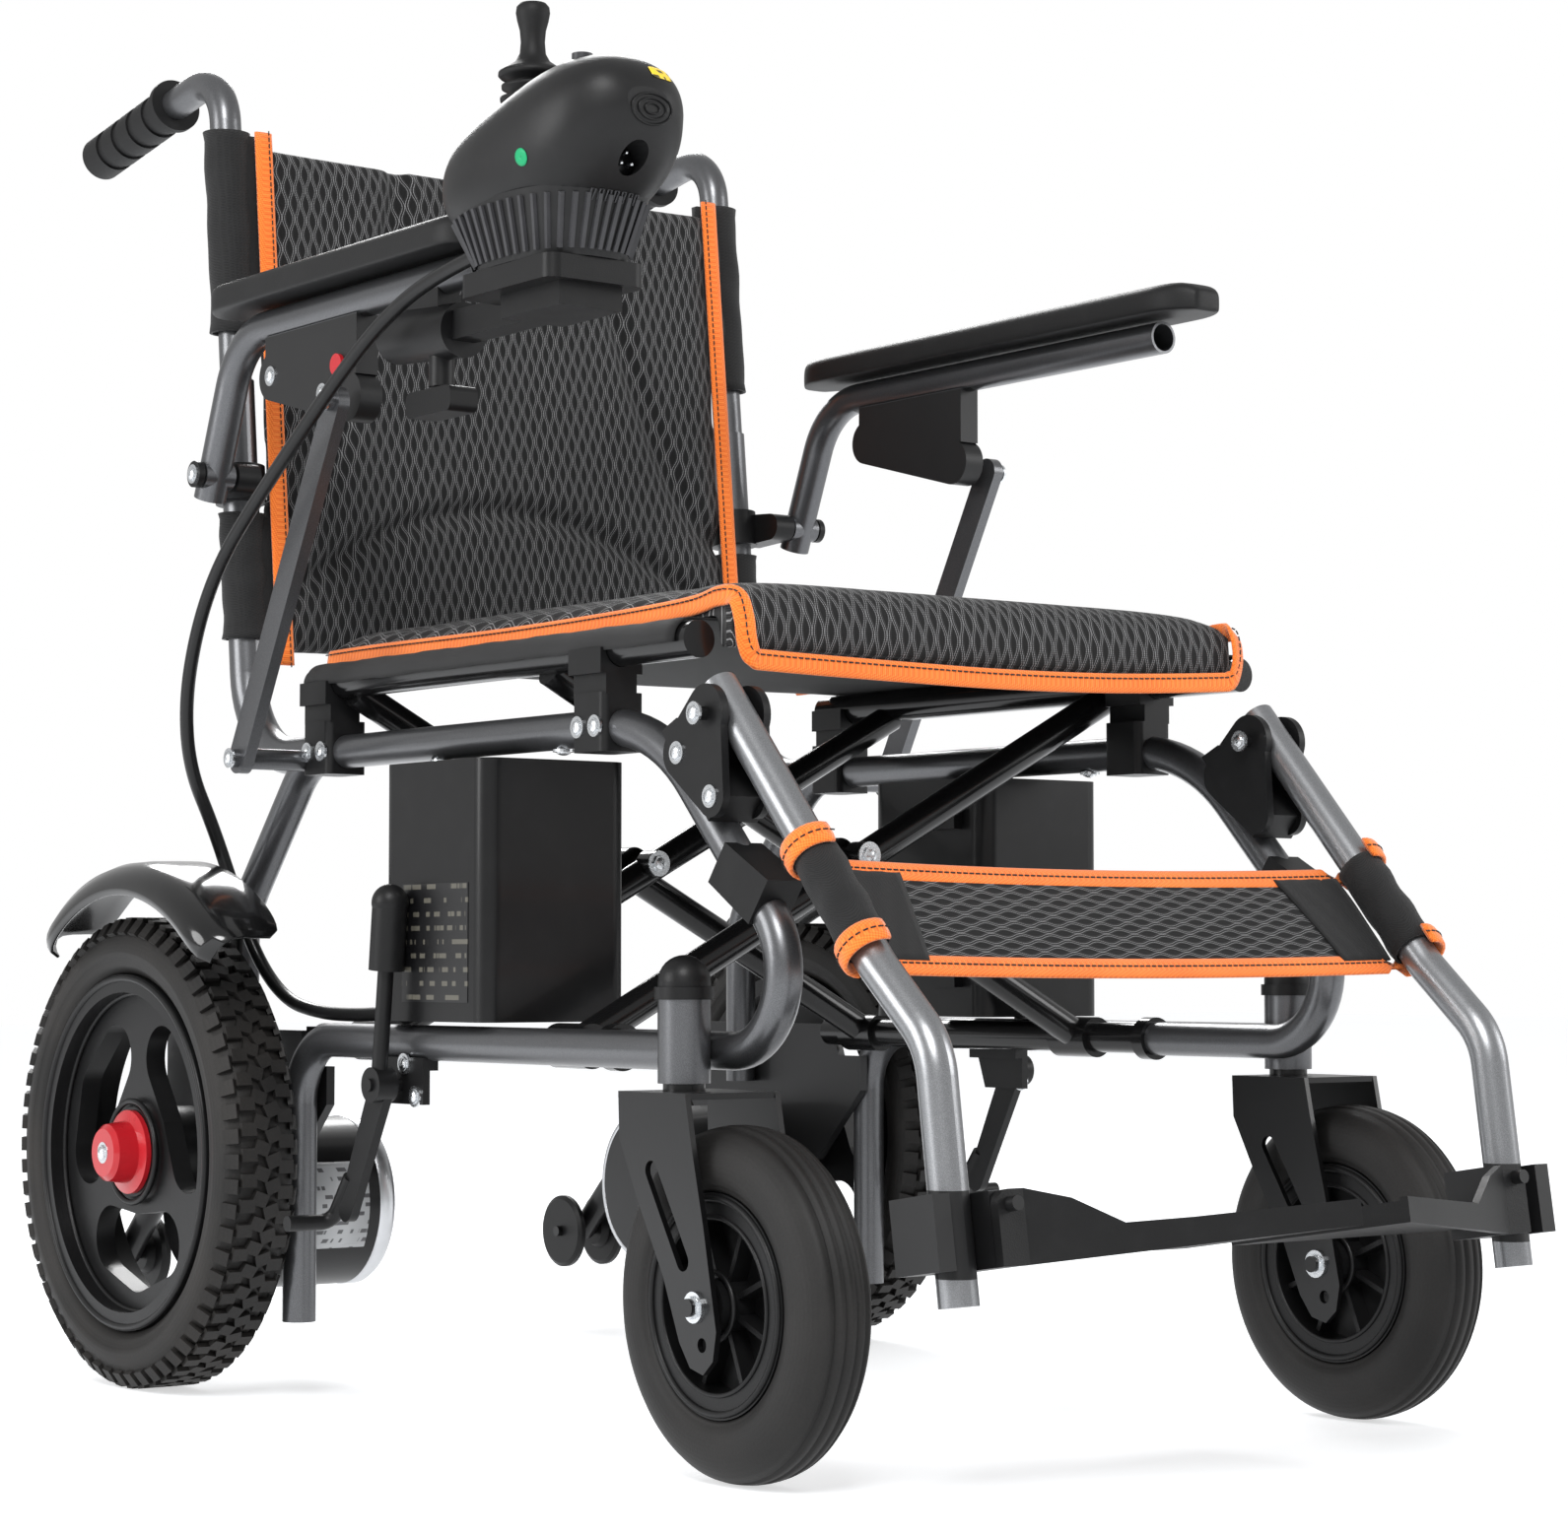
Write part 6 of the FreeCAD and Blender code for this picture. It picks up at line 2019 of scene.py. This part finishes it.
@dataclass
class Cable:
    """Controller cable from the pod, past the armrest and down to the frame."""

    radius: float = 0.0045

    def build(self) -> None:
        """NURBS line through the route, made a mesh."""
        route = [(-274, 166, 707), (-278, 212, 700), (-284, 260, 679), (-291, 305, 645),
                 (-294, 350, 612), (-295, 396, 580), (-297, 438, 546), (-296, 470, 506),
                 (-296, 486, 458), (-286, 498, 414), (-262, 509, 376), (-241, 518, 334),
                 (-230, 508, 290), (-226, 474, 260), (-225, 430, 252), (-226, 386, 251),
                 (-226.5, 348, 252), (-225, 315, 254)]
        data = bpy.data.curves.new("cable", "CURVE")
        data.dimensions = "3D"
        line = data.splines.new("NURBS")
        line.points.add(len(route) - 1)
        for slot, p in zip(line.points, route):
            slot.co = (*at(*p), 1.0)
        line.order_u = 3
        line.use_endpoint_u = True
        data.bevel_depth = self.radius
        data.bevel_resolution = 5
        data.resolution_u = 10
        data.use_fill_caps = True
        obj = link_new("cable", data)
        mesh = evaluated_mesh(obj)
        bpy.data.objects.remove(obj)
        mesh.materials.clear()
        mesh.materials.append(CABLE.material())
        cable = link_new("controller_lead", mesh)
        for polygon in mesh.polygons:
            polygon.use_smooth = True
        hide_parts("controller_cable")
        at(-296, 478, 470)
        at(-291, 320, 640)
        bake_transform(cable)


@dataclass
class Fasteners:
    """Zinc screws and bolts over the frame, one piece for each body."""

    def spots(self, side: Side) -> dict[str, list[tuple[Vector, Vector]]]:
        """Places and directions of the heads on one side, by body suffix.

        Args:
            side: the side of the chair.

        Returns:
            Lists of places and directions.
        """
        s = side.value
        out, back = Vector((s, 0, 0)), Vector((-s, 0, 0))
        frame_spots = [(at(s * 237.4, -8, 425), out), (at(s * 188.6, -8, 425), back),
                       (at(s * 268.3, 530, 616), out)]
        for y in (113, 433):
            frame_spots.append((at(s * 228.6, y - 9, 424), out))
            frame_spots.append((at(s * 228.6, y + 9, 424), out))
        frame_spots += [(at(s * 230.6, 18, 404), out), (at(s * 230.6, -14, 378), out),
                        (at(s * 247.8, 285, 222), out), (at(s * 247.8, 272, 202), out),
                        (at(s * 213, 300, 412.4), Vector((0, 0, -1))),
                        (at(s * 213, 160, 412.4), Vector((0, 0, -1)))]
        strut = [(at(s * 281.2, 452, 419), out), (at(s * 281.2, 332, 640), out)]
        arm = [(at(s * 259.3, 440, 672), out), (at(s * 259.3, 372, 652), out)]
        return {"frame": frame_spots, "strut": strut, "armrest": arm}

    def build(self) -> None:
        """Bake the heads of every body."""
        for side in Side:
            for suffix, spots in self.spots(side).items():
                heads = BOLTS.bake(f"screws_{suffix}_{side.word}", points_with_axis(spots),
                                   head=0.0048, rise=0.0034, washer=0.0066, sheet=0.0016)
                slot = {"frame": "black_plastic", "strut": "gunmetal",
                        "armrest": "gunmetal"}[suffix]
                dress(heads, f"{side.word}_{suffix}", slot)
        pins = [(at(0, y - 14.4, 352.5), Vector((0, -1, 0))) for y in (146, 376)]
        heads = BOLTS.bake("screws_cross", points_with_axis(pins), head=0.0058, rise=0.005,
                           washer=0.0088, sheet=0.0016)
        dress(heads, "cross_a", "black_paint")


@dataclass
class Studio:
    """Pale floor, soft lights and the camera."""

    place: tuple[float, float, float] = (-1.429, -1.89818, 0.283)
    turn: float = -37.23
    tilt: float = -3.11
    lens: float = 83.29
    sky_light: float = 0.62
    sky_seen: float = 1.0
    floor_half: float = 14.0

    def area(self, name: str, spot: Vector, target: Vector, size: float, power: float) -> None:
        """One soft light aimed at a point.

        Args:
            name: the light's name.
            spot: its place.
            target: the point that it is aimed at.
            size: its width in metres.
            power: its power in watts.
        """
        data = bpy.data.lights.new(name, "AREA")
        data.shape = "DISK"
        data.size = size
        data.energy = power
        lamp = link_new(name, data)
        lamp.location = spot
        lamp.rotation_euler = (spot - target).to_track_quat("Z", "Y").to_euler()

    def build(self) -> None:
        """Make the floor, lights, world and camera."""
        scene = bpy.context.scene
        camera = bpy.data.cameras.new("camera")
        camera.lens = self.lens
        camera.sensor_width = 36.0
        eye = link_new("camera", camera)
        a, e = math.radians(self.turn), math.radians(self.tilt)
        back = Vector((math.sin(a) * math.cos(e), -math.cos(a) * math.cos(e), math.sin(e)))
        eye.location = self.place
        eye.rotation_euler = back.to_track_quat("Z", "Y").to_euler()
        scene.camera = eye
        size = self.floor_half
        floor = make_mesh("floor",
                          [Vector((-size, -size, 0)), Vector((size, -size, 0)),
                           Vector((size, size, 0)),
                                    Vector((-size, size, 0))], [(0, 1, 2, 3)],
                                    StudioFloor("studio_floor"), False)
        middle = Vector((0, 0, 0.45))
        self.area("key", Vector((-2.2, -2.4, 3.0)), middle, 1.6, 120)
        self.area("fill", Vector((2.8, -2.2, 1.6)), middle, 1.8, 40)
        self.area("rim", Vector((1.2, 2.8, 2.6)), middle, 1.6, 90)
        self.area("side", Vector((-3.0, 0.8, 1.2)), middle, 1.6, 45)
        world = bpy.data.worlds.new("studio")
        world.use_nodes = True
        tree = world.node_tree
        backdrop = tree.nodes["Background"]
        backdrop.inputs[0].default_value = (1.0, 1.0, 1.0, 1.0)
        rays = tree.nodes.new("ShaderNodeLightPath")
        power = tree.nodes.new("ShaderNodeMapRange")
        power.inputs["To Min"].default_value = self.sky_light
        power.inputs["To Max"].default_value = self.sky_seen
        tree.links.new(rays.outputs["Is Camera Ray"], power.inputs["Value"])
        tree.links.new(power.outputs[0], backdrop.inputs[1])
        scene.world = world
        scene.view_settings.view_transform = "Standard"


def dress_frame() -> None:
    """Give every CAD node that stays its finish."""
    finishes: dict[str, Finish] = {
        "side_frame": GUNMETAL, "back_cane": GUNMETAL, "armrest_tube": ARM_TUBE,
        "armrest_strut": GUNMETAL,
        "footrest_tube": HANGER, "brace_rail": BLACK_TUBE, "cross_brace_a": BLACK_TUBE,
        "cross_brace_b": BLACK_TUBE,
        "caster_fork": FORK_PAINT, "controller_rod": FITTING, "frame_fittings": FITTING,
        "battery_box": CASE, "footplate": PAD, "controller_mount": FITTING, "clamp_knob": FITTING,
        "controller_shell": POD,
        "joystick_gimbal": POD, "caster_rim": RIM_PLASTIC, "drive_rim": RIM_PLASTIC,
        "anti_tip_wheel": FITTING,
        "mudguard": GUARD, "drive_motor": MOTOR_PAINT, "push_grip": GRIP, "joystick": GRIP,
        "brake_lever": FITTING,
        "clutch_knob": RED, "armrest_button": RED, "power_button": KEY_GREY_AND_FIN_HIGHLIGHT, "horn_button": KEY_GREY_AND_FIN_HIGHLIGHT,
        "armrest_pad": PAD,
        "drive_tyre": PAD, "caster_tyre": PAD, "controller_cable": CABLE, "seat_sling": FITTING,
        "seat_cushion": FITTING, "back_upholstery": FITTING, "calf_strap": FITTING,
    }
    for name, obj in frame["nodes"].items():
        key = name.removesuffix("_left").removesuffix("_right")
        for slot in obj.material_slots:
            slot.material = finishes[key].material()


def main() -> None:
    """Build the camera first, then the frame's finishes, then every piece in order."""
    logging.basicConfig(level=logging.INFO, format="%(name)s: %(message)s")
    Studio().build()
    Cable().build()
    dress_frame()
    for side in Side:
        DriveWheel(side).build()
        Caster(side).build()
        Mudguard(side).build()
        Battery(side).build()
        Motor(side).build()
    ArmPad(Side.LEFT, 82.0).build()
    ArmPad(Side.RIGHT, 188.0).build()
    Seat().build()
    BackRest().build()
    CalfStrap().build()
    Controller().build()
    Fasteners().build()


if __name__ == "__main__":
    main()
